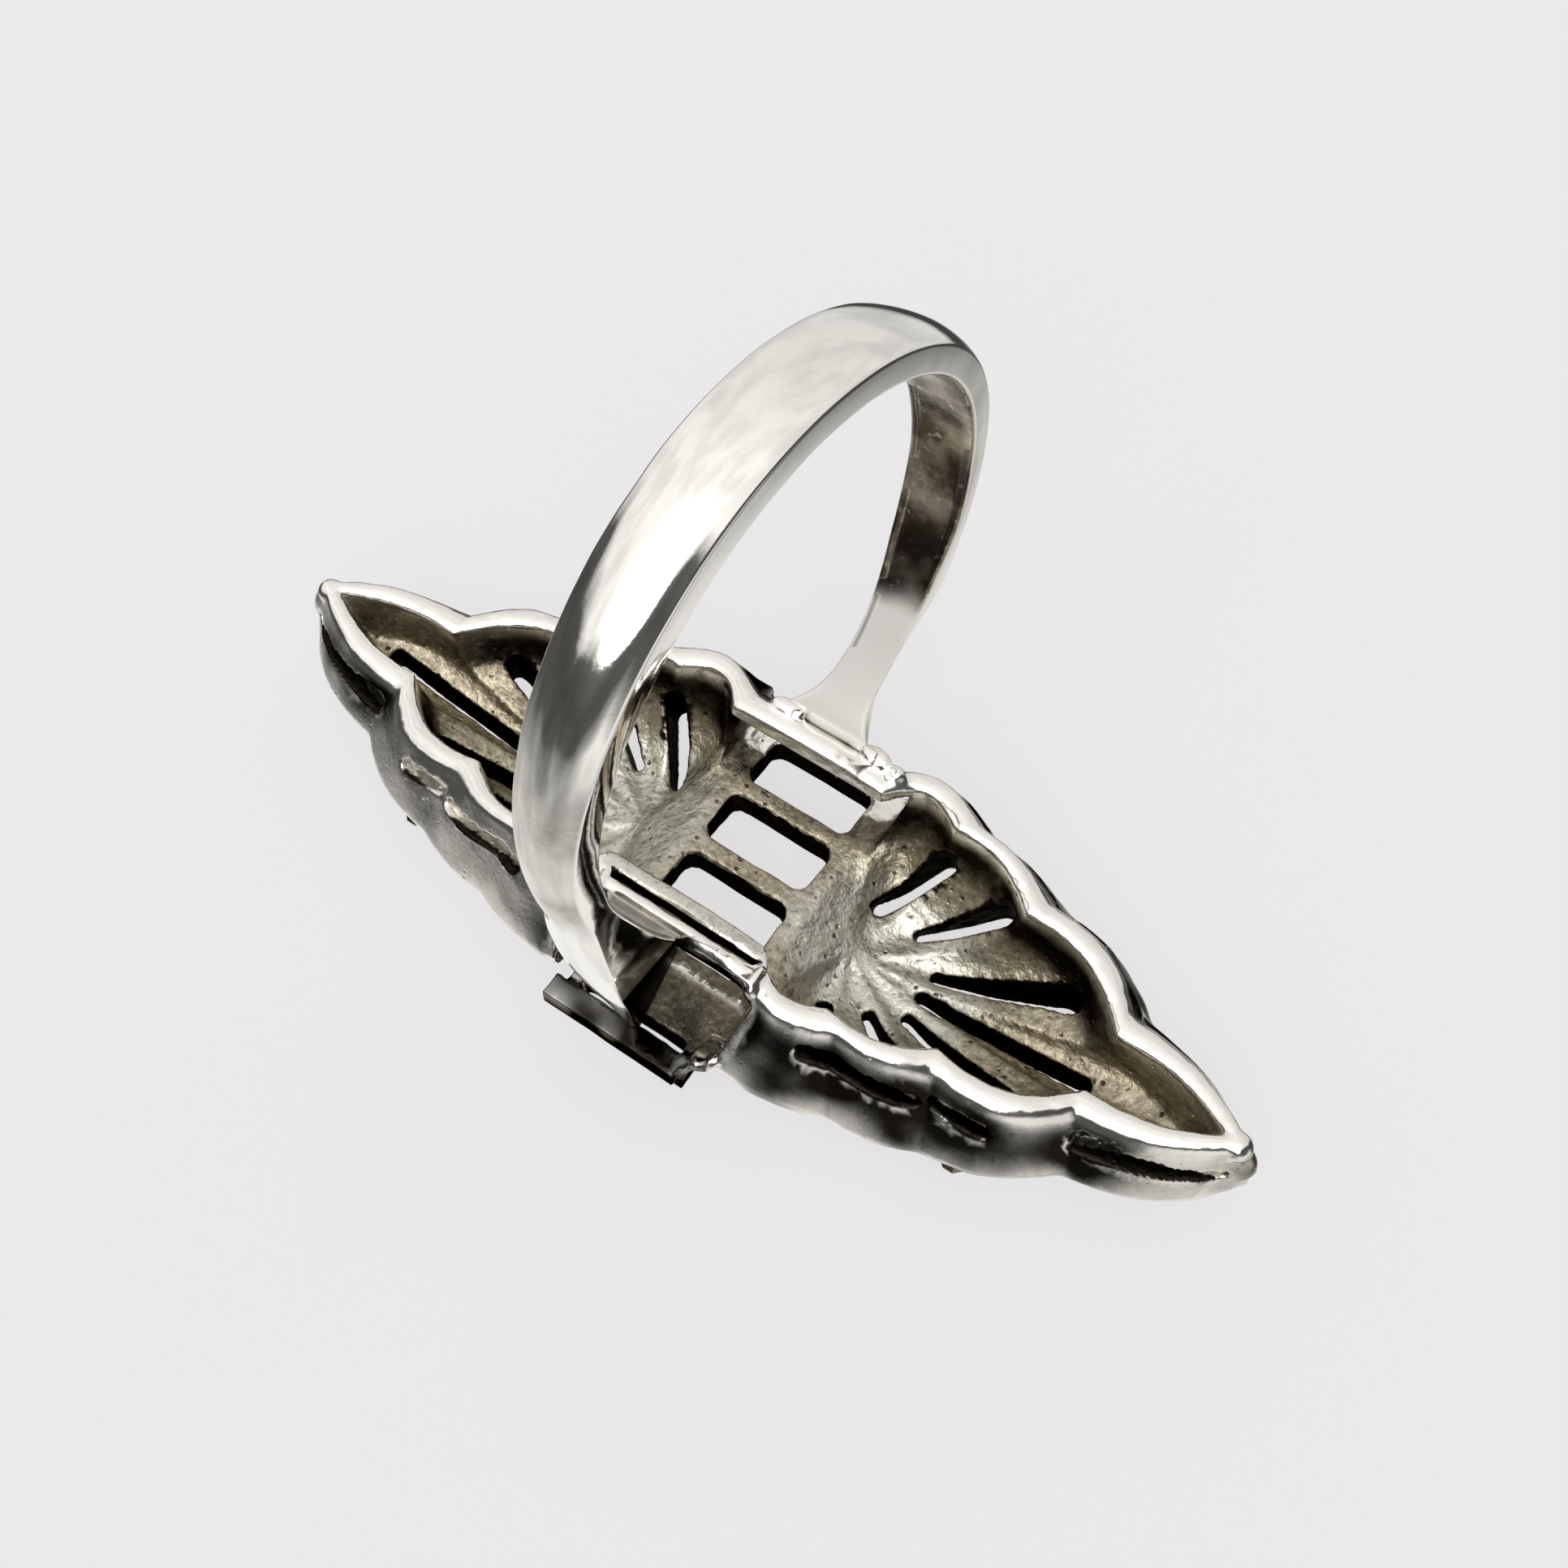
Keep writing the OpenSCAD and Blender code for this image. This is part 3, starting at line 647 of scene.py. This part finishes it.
def cast_silver(colours):
    """Sterling silver, cast, oxidised and then buffed on its high places. It gives the eye a near white
    mirror where it was buffed, an olive brown grain on the cast skin, and a glossy black under the rim."""
    mat, tree = new_material("cast_silver_oxidised")
    place = add(tree, "TexCoord", out="Object")
    zone = add(tree, "Attribute", out="Color", attribute_name="zone")
    skin, black, far = add(tree, "SeparateColor", {"Color": zone}).node.outputs[:3]

    # The oxide wears off in patches 1.1 mm wide. The grain of the mould is 0.24 mm wide and its pits lie
    # 0.39 mm apart, both about twice as coarse as real ones, so that they show.
    patches = add(tree, "TexNoise", {"Vector": place, "Scale": cells(1.11), "Detail": 6, "Roughness": .62})
    grain = add(tree, "TexNoise", {"Vector": place, "Scale": cells(.238), "Detail": 4, "Roughness": .6})
    pits = add(tree, "TexVoronoi", {"Vector": place, "Scale": cells(.385)}, out="Distance")
    ragged = add(tree, "Math", (patches, .9, -.45), operation="MULTIPLY_ADD")

    # Brown skin: paler at the worn hub, light and dark by its grain, and black in its pits
    away = add(tree, "Math", (far, ragged), operation="ADD")
    away = add(tree, "MapRange", (away, .2, .95), **SOFT)
    light = add(tree, "MapRange", (grain, .5, .64, 0, .6), **SOFT)
    shade = add(tree, "MapRange", (grain, .47, .34, 0, .5), **SOFT)
    pitted = add(tree, "MapRange", (patches, .48, .6), **SOFT)
    dark = add(tree, "Math", (skin, pitted), operation="MULTIPLY")
    pit = add(tree, "MapRange", (pits, .08, .26, 1, 0), **SOFT)
    dark = add(tree, "Math", (pit, dark), operation="MULTIPLY")
    black_pit = add(tree, "Math", (dark, .8), operation="MULTIPLY")
    brown = add(tree, "Mix", {0: away, 6: colour("C9C8BE"), 7: colour(colours.patina)}, **TWO_COLOURS)
    for share, tone in ((light, "C9C1AE"), (shade, "50483A"), (black_pit, colours.soot)):
        brown = add(tree, "Mix", {0: share, 6: brown, 7: colour(tone)}, **TWO_COLOURS)
    base = add(tree, "Mix", {0: skin, 6: colour(colours.polish), 7: brown}, **TWO_COLOURS)

    # Black oxide: a ragged edge on the cast skin, and soft clouds 2.4 mm wide on the smooth walls
    clouds = add(tree, "TexNoise", {"Vector": place, "Scale": cells(2.38), "Detail": 1})
    clouds = add(tree, "Math", (clouds, 1.5, -.75), operation="MULTIPLY_ADD")
    frayed = add(tree, "Math", (ragged, .7), operation="MULTIPLY")
    uneven = add(tree, "Mix", {"Factor": skin, "A": clouds, "B": frayed})
    sooty = add(tree, "Math", (black, uneven), operation="ADD")
    sooty = add(tree, "MapRange", (sooty, .25, .85), **SOFT)
    base = add(tree, "Mix", {0: sooty, 6: base, 7: colour(colours.soot)}, **TWO_COLOURS)
    edge = add(tree, "Mix", {0: sooty, 6: colour("FFFFFF"), 7: colour("6E6A60")}, **TWO_COLOURS)

    rough = add(tree, "Math", (skin, .24, .14), operation="MULTIPLY_ADD")
    rough = add(tree, "Math", (ragged, .2, rough), operation="MULTIPLY_ADD", use_clamp=True)
    relief = add(tree, "Math", (grain, skin), operation="MULTIPLY")
    relief = add(tree, "Math", (dark, -1.2, relief), operation="MULTIPLY_ADD")
    bump = add(tree, "Bump", {"Height": relief, "Strength": .8, "Distance": .08 * MM})
    shader = add(tree, "BsdfPrincipled", {"Base Color": base, "Metallic": 1.0, "Roughness": rough,
                                          "Specular Tint": edge, "Normal": bump})
    add(tree, "OutputMaterial", {"Surface": shader})
    return mat


def polished_silver(colours):
    """Sterling silver, drawn as D wire, bent and buffed. It gives the eye a mirror with faint dents, a grey
    brown tarnished inner face, painted shade low on the near leg, a painted dark reflection over the near
    half of the outer face, and matt sanded solder at the far foot."""
    mat, tree = new_material("drawn_silver_polished")
    place = add(tree, "TexCoord", out="Object")
    tarnish_and_painted_shade = add(tree, "Attribute", out="Fac", attribute_name="tarnish_and_painted_shade")
    sanded = add(tree, "Attribute", out="Fac", attribute_name="sanded")

    # The tarnish lies in patches 1.5 mm wide, rubbed off in flecks 0.26 mm wide
    patches = add(tree, "TexNoise", {"Vector": place, "Scale": cells(1.54), "Detail": 5, "Roughness": .6})
    flecks = add(tree, "TexNoise", {"Vector": place, "Scale": cells(.263), "Detail": 3})
    cloudy = add(tree, "MapRange", (patches, .4, .65), **SOFT)
    rubbed = add(tree, "MapRange", (flecks, .62, .72), **SOFT)
    # Share of the near leg's painted shade, the only place where the values pass 0.88: it gets a near black
    # brown and a darker specular tint
    painted_shade_share = add(tree, "MapRange", (tarnish_and_painted_shade, .88, .98), **SOFT)
    grey = colour("574B40")
    for share, tone in ((cloudy, "ADA393"), (rubbed, "B9B3A6"), (painted_shade_share, "332B22")):
        grey = add(tree, "Mix", {0: share, 6: grey, 7: colour(tone)}, **TWO_COLOURS)
    # Grey in place of the mirror over the tarnish, over the painted shade and over the painted dark
    # reflection
    tarnish_and_painted_grey = add(tree, "Math", (tarnish_and_painted_shade, 1.18), operation="MULTIPLY", use_clamp=True)
    base = add(tree, "Mix", {0: tarnish_and_painted_grey, 6: colour(colours.polish), 7: grey}, **TWO_COLOURS)
    edge = add(tree, "Mix", {0: painted_shade_share, 6: colour("FFFFFF"), 7: colour("3E372F")}, **TWO_COLOURS)

    rough = add(tree, "Math", (tarnish_and_painted_shade, .16, .03), operation="MULTIPLY_ADD")
    rough = add(tree, "Math", (patches, .08, rough), operation="MULTIPLY_ADD")
    rough = add(tree, "Math", (sanded, .35, rough), operation="MULTIPLY_ADD")
    metal = add(tree, "Math", (sanded, -.6, 1.0), operation="MULTIPLY_ADD")
    dents = add(tree, "Math", (tarnish_and_painted_shade, 2.5, .8), operation="MULTIPLY_ADD")
    dents = add(tree, "Math", (patches, dents), operation="MULTIPLY")
    bump = add(tree, "Bump", {"Height": dents, "Strength": .3, "Distance": .03 * MM})
    shader = add(tree, "BsdfPrincipled", {"Base Color": base, "Metallic": metal, "Roughness": rough,
                                          "Specular Tint": edge, "Normal": bump})
    add(tree, "OutputMaterial", {"Surface": shader})
    return mat


def cut_marcasite(colours):
    """Pyrite, sold as marcasite, cut and polished. It gives the eye small flat facets of a brassy grey with
    a metal's gloss, some a little yellower: the tone changes over 2.5 mm."""
    mat, tree = new_material("marcasite_faceted")
    place = add(tree, "TexCoord", out="Object")
    tone = add(tree, "TexNoise", {"Vector": place, "Scale": cells(2.5), "Detail": 2})
    base = add(tree, "Mix", {0: tone, 6: colour(colours.marcasite), 7: colour("8A8271")}, **TWO_COLOURS)
    shader = add(tree, "BsdfPrincipled", {"Base Color": base, "Metallic": 1.0, "Roughness": .14})
    add(tree, "OutputMaterial", {"Surface": shader})
    return mat


def backdrop_paper(colours):
    """White background paper, matt. It gives the eye an even, nearly shadowless ground, so most of its light
    is its own."""
    mat, tree = new_material("paper_backdrop")
    shader = add(tree, "BsdfPrincipled", {
        "Base Color": colour("616061"), "Roughness": .9, "Specular IOR Level": 0.0,
        "Emission Color": colour(colours.floor), "Emission Strength": .8})
    add(tree, "OutputMaterial", {"Surface": shader})
    return mat


def studio(colours):
    """Light tent: a broad bright ceiling, a dark band round the horizon and a pale table below. The
    camera itself sees the plain pale backdrop."""
    world = bpy.data.worlds.new("studio")
    world.use_nodes = True
    tree = world.node_tree
    tree.nodes.clear()
    way = add(tree, "TexCoord", out="Generated")
    along, across, height = add(tree, "SeparateXYZ", (way,)).node.outputs[:3]

    # Lifts the ceiling's edge on the far side, and lowers it in front and to the right
    above = add(tree, "MapRange", (height, -.7, -.3), **SOFT)
    far_side = add(tree, "MapRange", (across, 0, 1, 0, .55), **SOFT)
    far_lift = add(tree, "Math", (above, far_side), operation="MULTIPLY")
    in_front = add(tree, "MapRange", (across, -1, -.4, -.16, 0), **SOFT)
    right = add(tree, "MapRange", (along, .1, .9, 0, .7), **SOFT)
    near_drop = add(tree, "Math", (in_front, right), operation="SUBTRACT")
    above = add(tree, "MapRange", (height, -.6, -.1), **SOFT)
    near_drop = add(tree, "Math", (above, near_drop), operation="MULTIPLY")

    # Bends the band by soft clouds, tilts it to the far side, and adds the lift and the drop
    clouds = add(tree, "TexNoise", {"Vector": way, "Scale": 2.2, "Detail": 2})
    clouds = add(tree, "Math", (clouds, .35, -.175), operation="MULTIPLY_ADD")
    height = add(tree, "Math", (height, clouds), operation="ADD")
    height = add(tree, "Math", (across, .12, height), operation="MULTIPLY_ADD")
    bend = add(tree, "Math", (far_lift, near_drop), operation="ADD")
    height = add(tree, "Math", (height, bend), operation="ADD")

    # Brightness from straight below (0) to straight above (1), a little warm
    stops = ((0, .95), (.13, .9), (.23, .35), (.32, .1), (.46, .07), (.57, .1), (.615, .6), (.66, .98),
             (1, 1.12))
    level = add(tree, "MapRange", (height, -1.0, 1.0))
    bands = add(tree, "ValToRGB", {"Fac": level})
    elements = bands.node.color_ramp.elements
    elements[0].position, elements[1].position = 0, 1
    for at, value in stops[1:-1]:
        elements.new(at)
    for element, (at, value) in zip(elements, stops):
        element.color = (value, value * .995, value * .97, 1)

    # Folds in the tent's cloth, dimmer on the far side, and the patch where the lamp shines through
    folds = add(tree, "TexNoise", {"Vector": way, "Scale": 3.2, "Detail": 4, "Roughness": .55})
    folds = add(tree, "MapRange", (folds, .35, .62, .85, 1.05), **SOFT)
    dimmer = add(tree, "MapRange", (across, 0, .9, 1, .72), **SOFT)
    power = add(tree, "Math", (folds, dimmer), operation="MULTIPLY")
    lamp = add(tree, "VectorMath", (way, KEY_WAY), out="Value", operation="DOT_PRODUCT")
    lamp = add(tree, "MapRange", (lamp, .72, 1, 0, .7), **SOFT)
    power = add(tree, "Math", (power, lamp), operation="ADD")

    tent = add(tree, "Background", {"Color": bands, "Strength": power})
    seen = add(tree, "Background", {"Color": colour(colours.floor), "Strength": 1.0})
    eye = add(tree, "LightPath", out="Is Camera Ray")
    both = add(tree, "MixShader", (eye, tent, seen))
    add(tree, "OutputWorld", {"Surface": both})
    return world


# The pieces

def head_skin():
    """The plaque as one closed skin: floor, inner wall, rim, outer wall and front, ring inside ring."""
    arc, part = quarter_places()
    rings = [surface(arc, part, at) for surface, places, _, _ in SKIN for at in places]
    return zipped(whole_loops(np.stack(rings)))


def window_bodies():
    """Openings under the rim's middle bars, on both long sides: a wedge that narrows towards the front,
    and a block through the front. Both reach outside the head."""
    wedge = ((6.3, -3.6), (7.5, -.85))
    wedge_y, block_y, outside = 2.9, 5.5, 9
    out = []
    for side in (1, -1):
        y = np.array([wedge_y, wedge_y, outside, outside]) * side
        out.append(tube(np.stack([np.stack([np.array([-w, w, w, -w]) / 2, y, np.full(4, z)], -1)
                                  for w, z in wedge])))
        low, high = sorted((block_y * side, outside * side))
        out.append(block((-3.15, low, -7), (3.15, high, -3.6)))
    return out


def slot_bodies():
    """Slots through the floor, the outer wall and the strap, and the slit beside the near foot."""
    out = []
    for i, (ax, ay, ar, bx, by, br) in enumerate([*FAN_SLOTS, *MIDDLE_SLOTS]):
        lean = SLOT_LEAN if i < LEANING else 0
        ends = [ax, ay + LEAN_Z * lean, 0], [bx, by + LEAN_Z * lean, 0]
        side = np.array([-(by - ay), bx - ax, 0]) / math.hypot(by - ay, bx - ax)
        body = slot_body(ends, (ar, br), (0, -lean, 1), (-7, -2), side)
        out += [mirrored(body, m, 1) for m in ((1, -1) if i < len(FAN_SLOTS) else (1,))]
    # The outer wall's slots run nearly level, from 0.8 mm inside the wall to well outside it
    t = math.radians(80)
    along, side = (0, math.sin(t), math.cos(t)), (0, -math.cos(t), math.sin(t))
    for ends in WALL_SLOTS:
        body = slot_body(ends[:, :3] - np.array([0, .8, 0]), ends[:, 3], along, (0, 2.4), side)
        out += [mirrored(body, *q) for q in QUADRANTS]
    turn = np.linspace(0, np.pi / 2, 6)
    for a, b in STRAP_SLOTS:
        half = (b - a) / 2
        r = min(STRAP_SLOT_R, half - .01)
        corners = [np.column_stack([mx * (STRAP_SLOT_X - r + r * np.cos(turn)),
                                    (a + b) / 2 + my * (half - r + r * np.sin(turn))])
                   for mx, my in QUADRANTS]
        ring = np.concatenate([c[::-1] if k % 2 else c for k, c in enumerate(corners)])
        out.append(tube(np.stack([with_height(ring, z) for z in (-7, -3.1)])))
    return [*out, block(*FOOT_SLIT)]


def solder_bodies():
    """Solder along the near foot's bar, at its corner with the plaque, at the far foot and on the tips,
    and a burr down the outer wall's ends beside the near foot."""
    bodies = [
        bead_line([(-2.4, -4.45, -.1), (-.8, -4.5, -.07), (.9, -4.5, -.08), (2.4, -4.5, -.1),
                   (3.6, -4.55, -.35)], [.2, .22, .22, .2, .15]),
        blob((3.4, -4.75, -.55), (.3, .35, .4)),
        blob((2.45, -7, -3.3), (.22, .3, .3), .4),
        blob((2.55, -6.7, -3.5), (.3, .2, .25), 1),
        blob((2.3, -7.35, -3.2), (.2, .22, .28), .2),
        blob((2.8, -6.2, -3.6), (.5, .45, .3)),
        bead_line([(2.4, -6.7, -3.55), (2.9, -6.6, -3.4), (3.3, -6.35, -3.1)], [.3, .28, .22]),
        blob((2.15, 4.35, -.05), (.6, .36, .26), -.1),
        blob((3.0, 4.25, -.15), (.35, .3, .22)),
        blob((-1.3, 4.3, 0), (.7, .32, .2), .1)]
    for x, z, size in ((18.1, -1.95, (.55, .5, .42)), (18.2, -2.95, (.82, .6, .95))):
        bodies += [blob((x * m, 0, z), size) for m in (1, -1)]
    return bodies + [bead_line(WALL_END * np.array([m, 1, 1]), [.14, .18, .16, .12]) for m in (1, -1)]


def stone_places():
    """Place, height of the metal and diameter of every stone on the front: a quarter's stones and their
    mirror images, two on each hub, and three at each end of the strap."""
    arc, part, s = STONES[:, 0].astype(int), STONES[:, 1], STONES[:, 2]
    xy = toward(outline(FRONT, arc, part), arc, part, s)
    quarter = np.column_stack([xy, front_height(xy[:, 0], arc, part, s), np.full(len(s), STONE_D)])
    out = [quarter * np.array([mx, my, 1, 1]) for mx, my in QUADRANTS]
    out += [np.array([[x * m, 0, polyline(x, CROWN_Z), d]])
            for x, d in ((HUB_X, HUB_STONE_D), (5.9, STONE_D)) for m in (1, -1)]
    for y in (5.7, -5):
        out.append(np.array([[x, y, STRAP[0][2], STRAP_STONE_D] for x in (-1.3, 0, 1.3)]))
    return np.concatenate(out)


def octagon(radius, height, turn=0):
    """Eight points round a circle at a height, turned by so many degrees."""
    t = np.radians(45 * np.arange(8) + 22.5) + math.radians(turn)
    return np.column_stack([radius * np.cos(t), radius * np.sin(t), np.full(8, height)])


def seat_bodies():
    """Eight-sided bores for the stones, a little wider than they are and flat at the bottom."""
    outside, depth = -1.5, .48
    return [tube(np.stack([octagon(d / 2 + SEAT_GAP, z + h) + np.array([x, y, 0])
                           for h in (outside, depth)]))
            for x, y, z, d in stone_places()]


def stone_bodies():
    """The stones: eight-sided levels, some turned by half a side, scaled by each stone's radius."""
    rings = np.stack([octagon(*level) for level in STONE_LEVELS])
    return [tube(rings * np.array([d / 2, d / 2, 1]) + np.array([x, y, z]))
            for x, y, z, d in stone_places()]


def shank_middle(y, z):
    """The x of the shank's middle, which leans and turns away from the finger's line."""
    return SHANK_X + (y - SHANK_Y) * math.tan(SHANK_TURN) - (z - SHANK_Z) * math.tan(SHANK_LEAN)


def shank_sections():
    """Sections from the far foot over the top to the near foot: y, z, left and right x of the inner
    face, the same of the outer one, and the dome's rise. Between the legs they follow two circles round
    the finger. All are joined by straight lines, and three moving averages then round the corners."""
    a = np.linspace(-ARC_END, 180 + ARC_END, 33)
    c, s = np.cos(np.radians(a)), np.sin(np.radians(a))
    inner = (SHANK_WIDE + SHANK_GAIN * np.maximum(0, s)) / 2
    outer = (inner - SHANK_LESS) * polyline(a, NARROW)
    columns = []
    for r, half in ((FINGER_R, inner), (FINGER_R + SHANK_EDGE, outer)):
        y, z = SHANK_Y + r * c, SHANK_Z + r * s
        columns += [y, z, shank_middle(y, z) - half, shank_middle(y, z) + half]
    rows = np.concatenate([FAR_LEG[::-1], np.column_stack([*columns, polyline(a, DOME)]), NEAR_LEG])
    step = np.linalg.norm(np.diff(rows[:, [0, 1]] + rows[:, [4, 5]], axis=0), axis=1) / 2
    at = np.concatenate([[0], np.cumsum(step)])
    rows = np.stack([np.interp(np.linspace(0, at[-1], 420), at, v) for v in rows.T], 1)
    reach = 4
    average = np.full(2 * reach + 1, 1 / (2 * reach + 1))
    for _ in range(3):
        padded = np.concatenate([rows[:1].repeat(reach, 0), rows, rows[-1:].repeat(reach, 0)])
        rows = np.stack([np.convolve(v, average, "valid") for v in padded.T], 1)
    return rows


def shank_skin():
    """A D-shaped section, carried from foot to foot: flat inside, rounded by circles on its edges, and
    a parabola over the outer face. x runs across it, and h is the height above the inner face."""
    inner_y, inner_z, il, ir, outer_y, outer_z, ol, outr, dome = (v[:, None] for v in shank_sections().T)
    up = np.concatenate([outer_y - inner_y, outer_z - inner_z], 1)
    height = np.linalg.norm(up, axis=1)[:, None]
    up = up / height
    r = EDGE_R
    # The inner edges turn 90 degrees and the outer ones 72, and the dome starts about where they end
    q = np.radians(np.linspace(0, 90, 6))[None]
    back = q[:, ::-1]
    lean = .8
    mid, half = (ol + outr) / 2, (outr - ol) / 2 - r * .6
    flat = np.linspace(0, 1, 7)[None]
    arch = np.linspace(1, -1, 15)[None, 1:-1]
    column = np.zeros_like(dome)
    x = np.concatenate([il + r + (ir - il - 2 * r) * flat,
                        ir - r + r * np.sin(q), outr - r + r * np.cos(q * lean),
                        mid + half * arch,
                        ol + r - r * np.cos(back * lean), il + r - r * np.sin(back)], 1)
    h = np.concatenate([column + 0 * flat, column + (r - r * np.cos(q)), height - r + r * np.sin(q * lean),
                        height + dome * (1 - arch**2),
                        height - r + r * np.sin(back * lean), column + (r - r * np.cos(back))], 1)
    return tube(np.stack([x, inner_y + up[:, :1] * h, inner_z + up[:, 1:] * h], -1))


class RING_OT_head(bpy.types.Operator):
    """Cast head: the fans, the rim, the outer wall and the cross strap, pierced and softened"""
    bl_idname = "ring.head"
    bl_label = "Cast head"

    def execute(self, context):
        sizes = context.scene.ring_sizes
        obj = make_piece("cast_head", head_skin())
        cut(obj, window_bodies())
        bars = [block(*corners) for corners in (STRAP, END_BAR, FOOT_BAR)]
        cut(obj, bars + solder_bodies(), "UNION")
        cut(obj, slot_bodies())
        cut(obj, seat_bodies())
        modify(obj, "REMESH", mode="VOXEL", voxel_size=sizes.voxel, adaptivity=0)
        modify(obj, "SMOOTH", factor=.5, iterations=sizes.edge_round)
        # Waves 0.9 mm wide all over, deeper in the hollow, and finer grain away from the outer wall
        p, n = vertices(obj), normals(obj)
        deep = ramp(polyline(np.abs(p[:, 0]), RIM_Z) - p[:, 2], .15, .6)
        fine = 1 - outer_side(p, n)
        bump = noise(p, .9, 3) * .7 + (noise(p, .4, 5) * .5 + noise(p, .2, 7) * .35) * fine
        set_vertices(obj, p + n * (bump * sizes.grain / MM * (.9 + .7 * deep))[:, None])
        triangles = 2 * len(obj.data.polygons)
        if triangles > FACE_LIMIT:
            modify(obj, "DECIMATE", ratio=FACE_LIMIT / triangles)
        zones(obj)
        obj.data.polygons.foreach_set("use_smooth", [True] * len(obj.data.polygons))
        obj.data.materials.clear()
        obj.data.materials.append(cast_silver(context.scene.ring_colours))
        in_place(obj, "silver_ring")
        return {"FINISHED"}


class RING_OT_shank(bpy.types.Operator):
    """Shank: a D-shaped band from foot to foot, soldered to the rim"""
    bl_idname = "ring.shank"
    bl_label = "Shank"

    def execute(self, context):
        obj = make_piece("shank", shank_skin())
        # Long shallow waves from bending and buffing, above the rim
        p, n = vertices(obj), normals(obj)
        wave = noise(p, 1.7, 21) * .012 + noise(p, .8, 22) * .006
        p = p + n * (wave * ramp(p[:, 2], 0, 2))[:, None]
        set_vertices(obj, p)
        # How far the surface faces the middle of the finger, and a height with a wavy limit
        out = np.stack([p[:, 1] - SHANK_Y, p[:, 2] - SHANK_Z], -1)
        out = out / np.linalg.norm(out, axis=1)[:, None]
        inward = -(n[:, 1] * out[:, 0] + n[:, 2] * out[:, 1])
        height = p[:, 2] + .5 * noise(p, 1.2, 11)
        far = ramp(p[:, 1], 0, 1)
        # Sanded solder low on the far leg, and painted shade low on the near leg's right side
        foot = far * (1 - ramp(height, 4.2, 5.4))
        painted_leg_shade = ramp(n[:, 0], .45, .8) * (1 - far) * ramp(-p[:, 1], 3.5, 5) * (1 - ramp(height, 1, 3.5))
        # Tarnish on the inner face, and a fainter painted darkening on the near half of the outer one,
        # standing in for the dark that face reflects
        painted_dark_reflection = ramp(height, 6.2, 8.5) * (1 - ramp(height, 12, 15)) * ramp(-inward, .4, .9) * (1 - far)
        tarnish_and_painted_dark = ramp(inward, .3, .8) * (1 - foot) + .55 * painted_dark_reflection * (.8 + .6 * noise(p, 1.1, 13))
        # The tarnish attribute carries the inner face's tarnish together with the painted shade and the
        # painted dark reflection
        mark(obj, "tarnish_and_painted_shade", np.maximum(.85 * np.clip(tarnish_and_painted_dark, 0, 1), painted_leg_shade))
        mark(obj, "sanded", foot * ramp(inward, 0, .5))
        obj.data.materials.append(polished_silver(context.scene.ring_colours))
        in_place(obj, "silver_ring")
        return {"FINISHED"}


class RING_OT_stones(bpy.types.Operator):
    """Marcasites: small stones with a table, sixteen crown facets and a flat back"""
    bl_idname = "ring.stones"
    bl_label = "Marcasites"

    def execute(self, context):
        obj = make_piece("marcasite_stones", joined(stone_bodies()), smooth=False)
        obj.data.materials.append(cut_marcasite(context.scene.ring_colours))
        in_place(obj, "marcasites")
        return {"FINISHED"}


class RING_OT_stage(bpy.types.Operator):
    """Floor, soft studio lights and the camera"""
    bl_idname = "ring.stage"
    bl_label = "Stage"

    def execute(self, context):
        scene = context.scene
        half = 2.0
        floor = bpy.data.meshes.new("floor")
        floor.from_pydata([(x * half, y * half, 0) for x, y in ((-1, -1), (1, -1), (1, 1), (-1, 1))], [],
                          [(0, 1, 2, 3)])
        floor.materials.append(backdrop_paper(scene.ring_colours))
        ground = bpy.data.objects.new("floor", floor)
        scene.collection.objects.link(ground)
        ground.visible_glossy = False

        sun = bpy.data.objects.new("key", bpy.data.lights.new("key", "SUN"))
        sun.data.energy, sun.data.angle = 1.5, math.radians(50)
        sun.rotation_euler = (math.radians(38), math.radians(12), 0)
        scene.collection.objects.link(sun)
        scene.world = studio(scene.ring_colours)

        camera = bpy.data.objects.new("camera", bpy.data.cameras.new("camera"))
        scene.collection.objects.link(camera)
        camera.data.sensor_width = SENSOR_MM
        camera.data.lens = FOCAL_PX / PICTURE_PX * SENSOR_MM
        camera.data.shift_x = (PICTURE_PX / 2 - CENTRE_PX[0]) / PICTURE_PX
        camera.data.shift_y = (CENTRE_PX[1] - PICTURE_PX / 2) / PICTURE_PX
        camera.data.clip_start = MM
        back = -np.cross(CAMERA_RIGHT, CAMERA_DOWN)
        pose = np.eye(4)
        pose[:3] = np.column_stack([CAMERA_RIGHT, -CAMERA_DOWN, back, (CAMERA_AT + HEAD_ORIGIN) * MM])
        camera.matrix_world = Matrix(pose.tolist())
        scene.camera = camera
        scene.view_settings.view_transform = "Standard"
        return {"FINISHED"}


class RING_PT_panel(bpy.types.Panel):
    """Lists the pieces of the ring"""
    bl_idname = "RING_PT_panel"
    bl_label = "Marcasite ring"
    bl_space_type = "VIEW_3D"
    bl_region_type = "UI"
    bl_category = "Ring"

    def draw(self, context):
        for group in (context.scene.ring_sizes, context.scene.ring_colours):
            for name in group.__annotations__:
                self.layout.prop(group, name)
        for cls in STEPS:
            self.layout.operator(cls.bl_idname)


STEPS = (RING_OT_stage, RING_OT_head, RING_OT_shank, RING_OT_stones)
CLASSES = (RingSizes, RingColours, *STEPS, RING_PT_panel)


def register():
    """Registers the classes, and puts the sizes and colours on the scene."""
    for cls in CLASSES:
        bpy.utils.register_class(cls)
    bpy.types.Scene.ring_sizes = bpy.props.PointerProperty(type=RingSizes)
    bpy.types.Scene.ring_colours = bpy.props.PointerProperty(type=RingColours)


def unregister():
    """Takes away what register put in."""
    del bpy.types.Scene.ring_sizes, bpy.types.Scene.ring_colours
    for cls in reversed(CLASSES):
        bpy.utils.unregister_class(cls)


def main():
    """Builds the stage and the pieces."""
    register()
    bpy.ops.ring.stage()
    bpy.ops.ring.head()
    bpy.ops.ring.shank()
    bpy.ops.ring.stones()


if __name__ == "__main__":
    main()
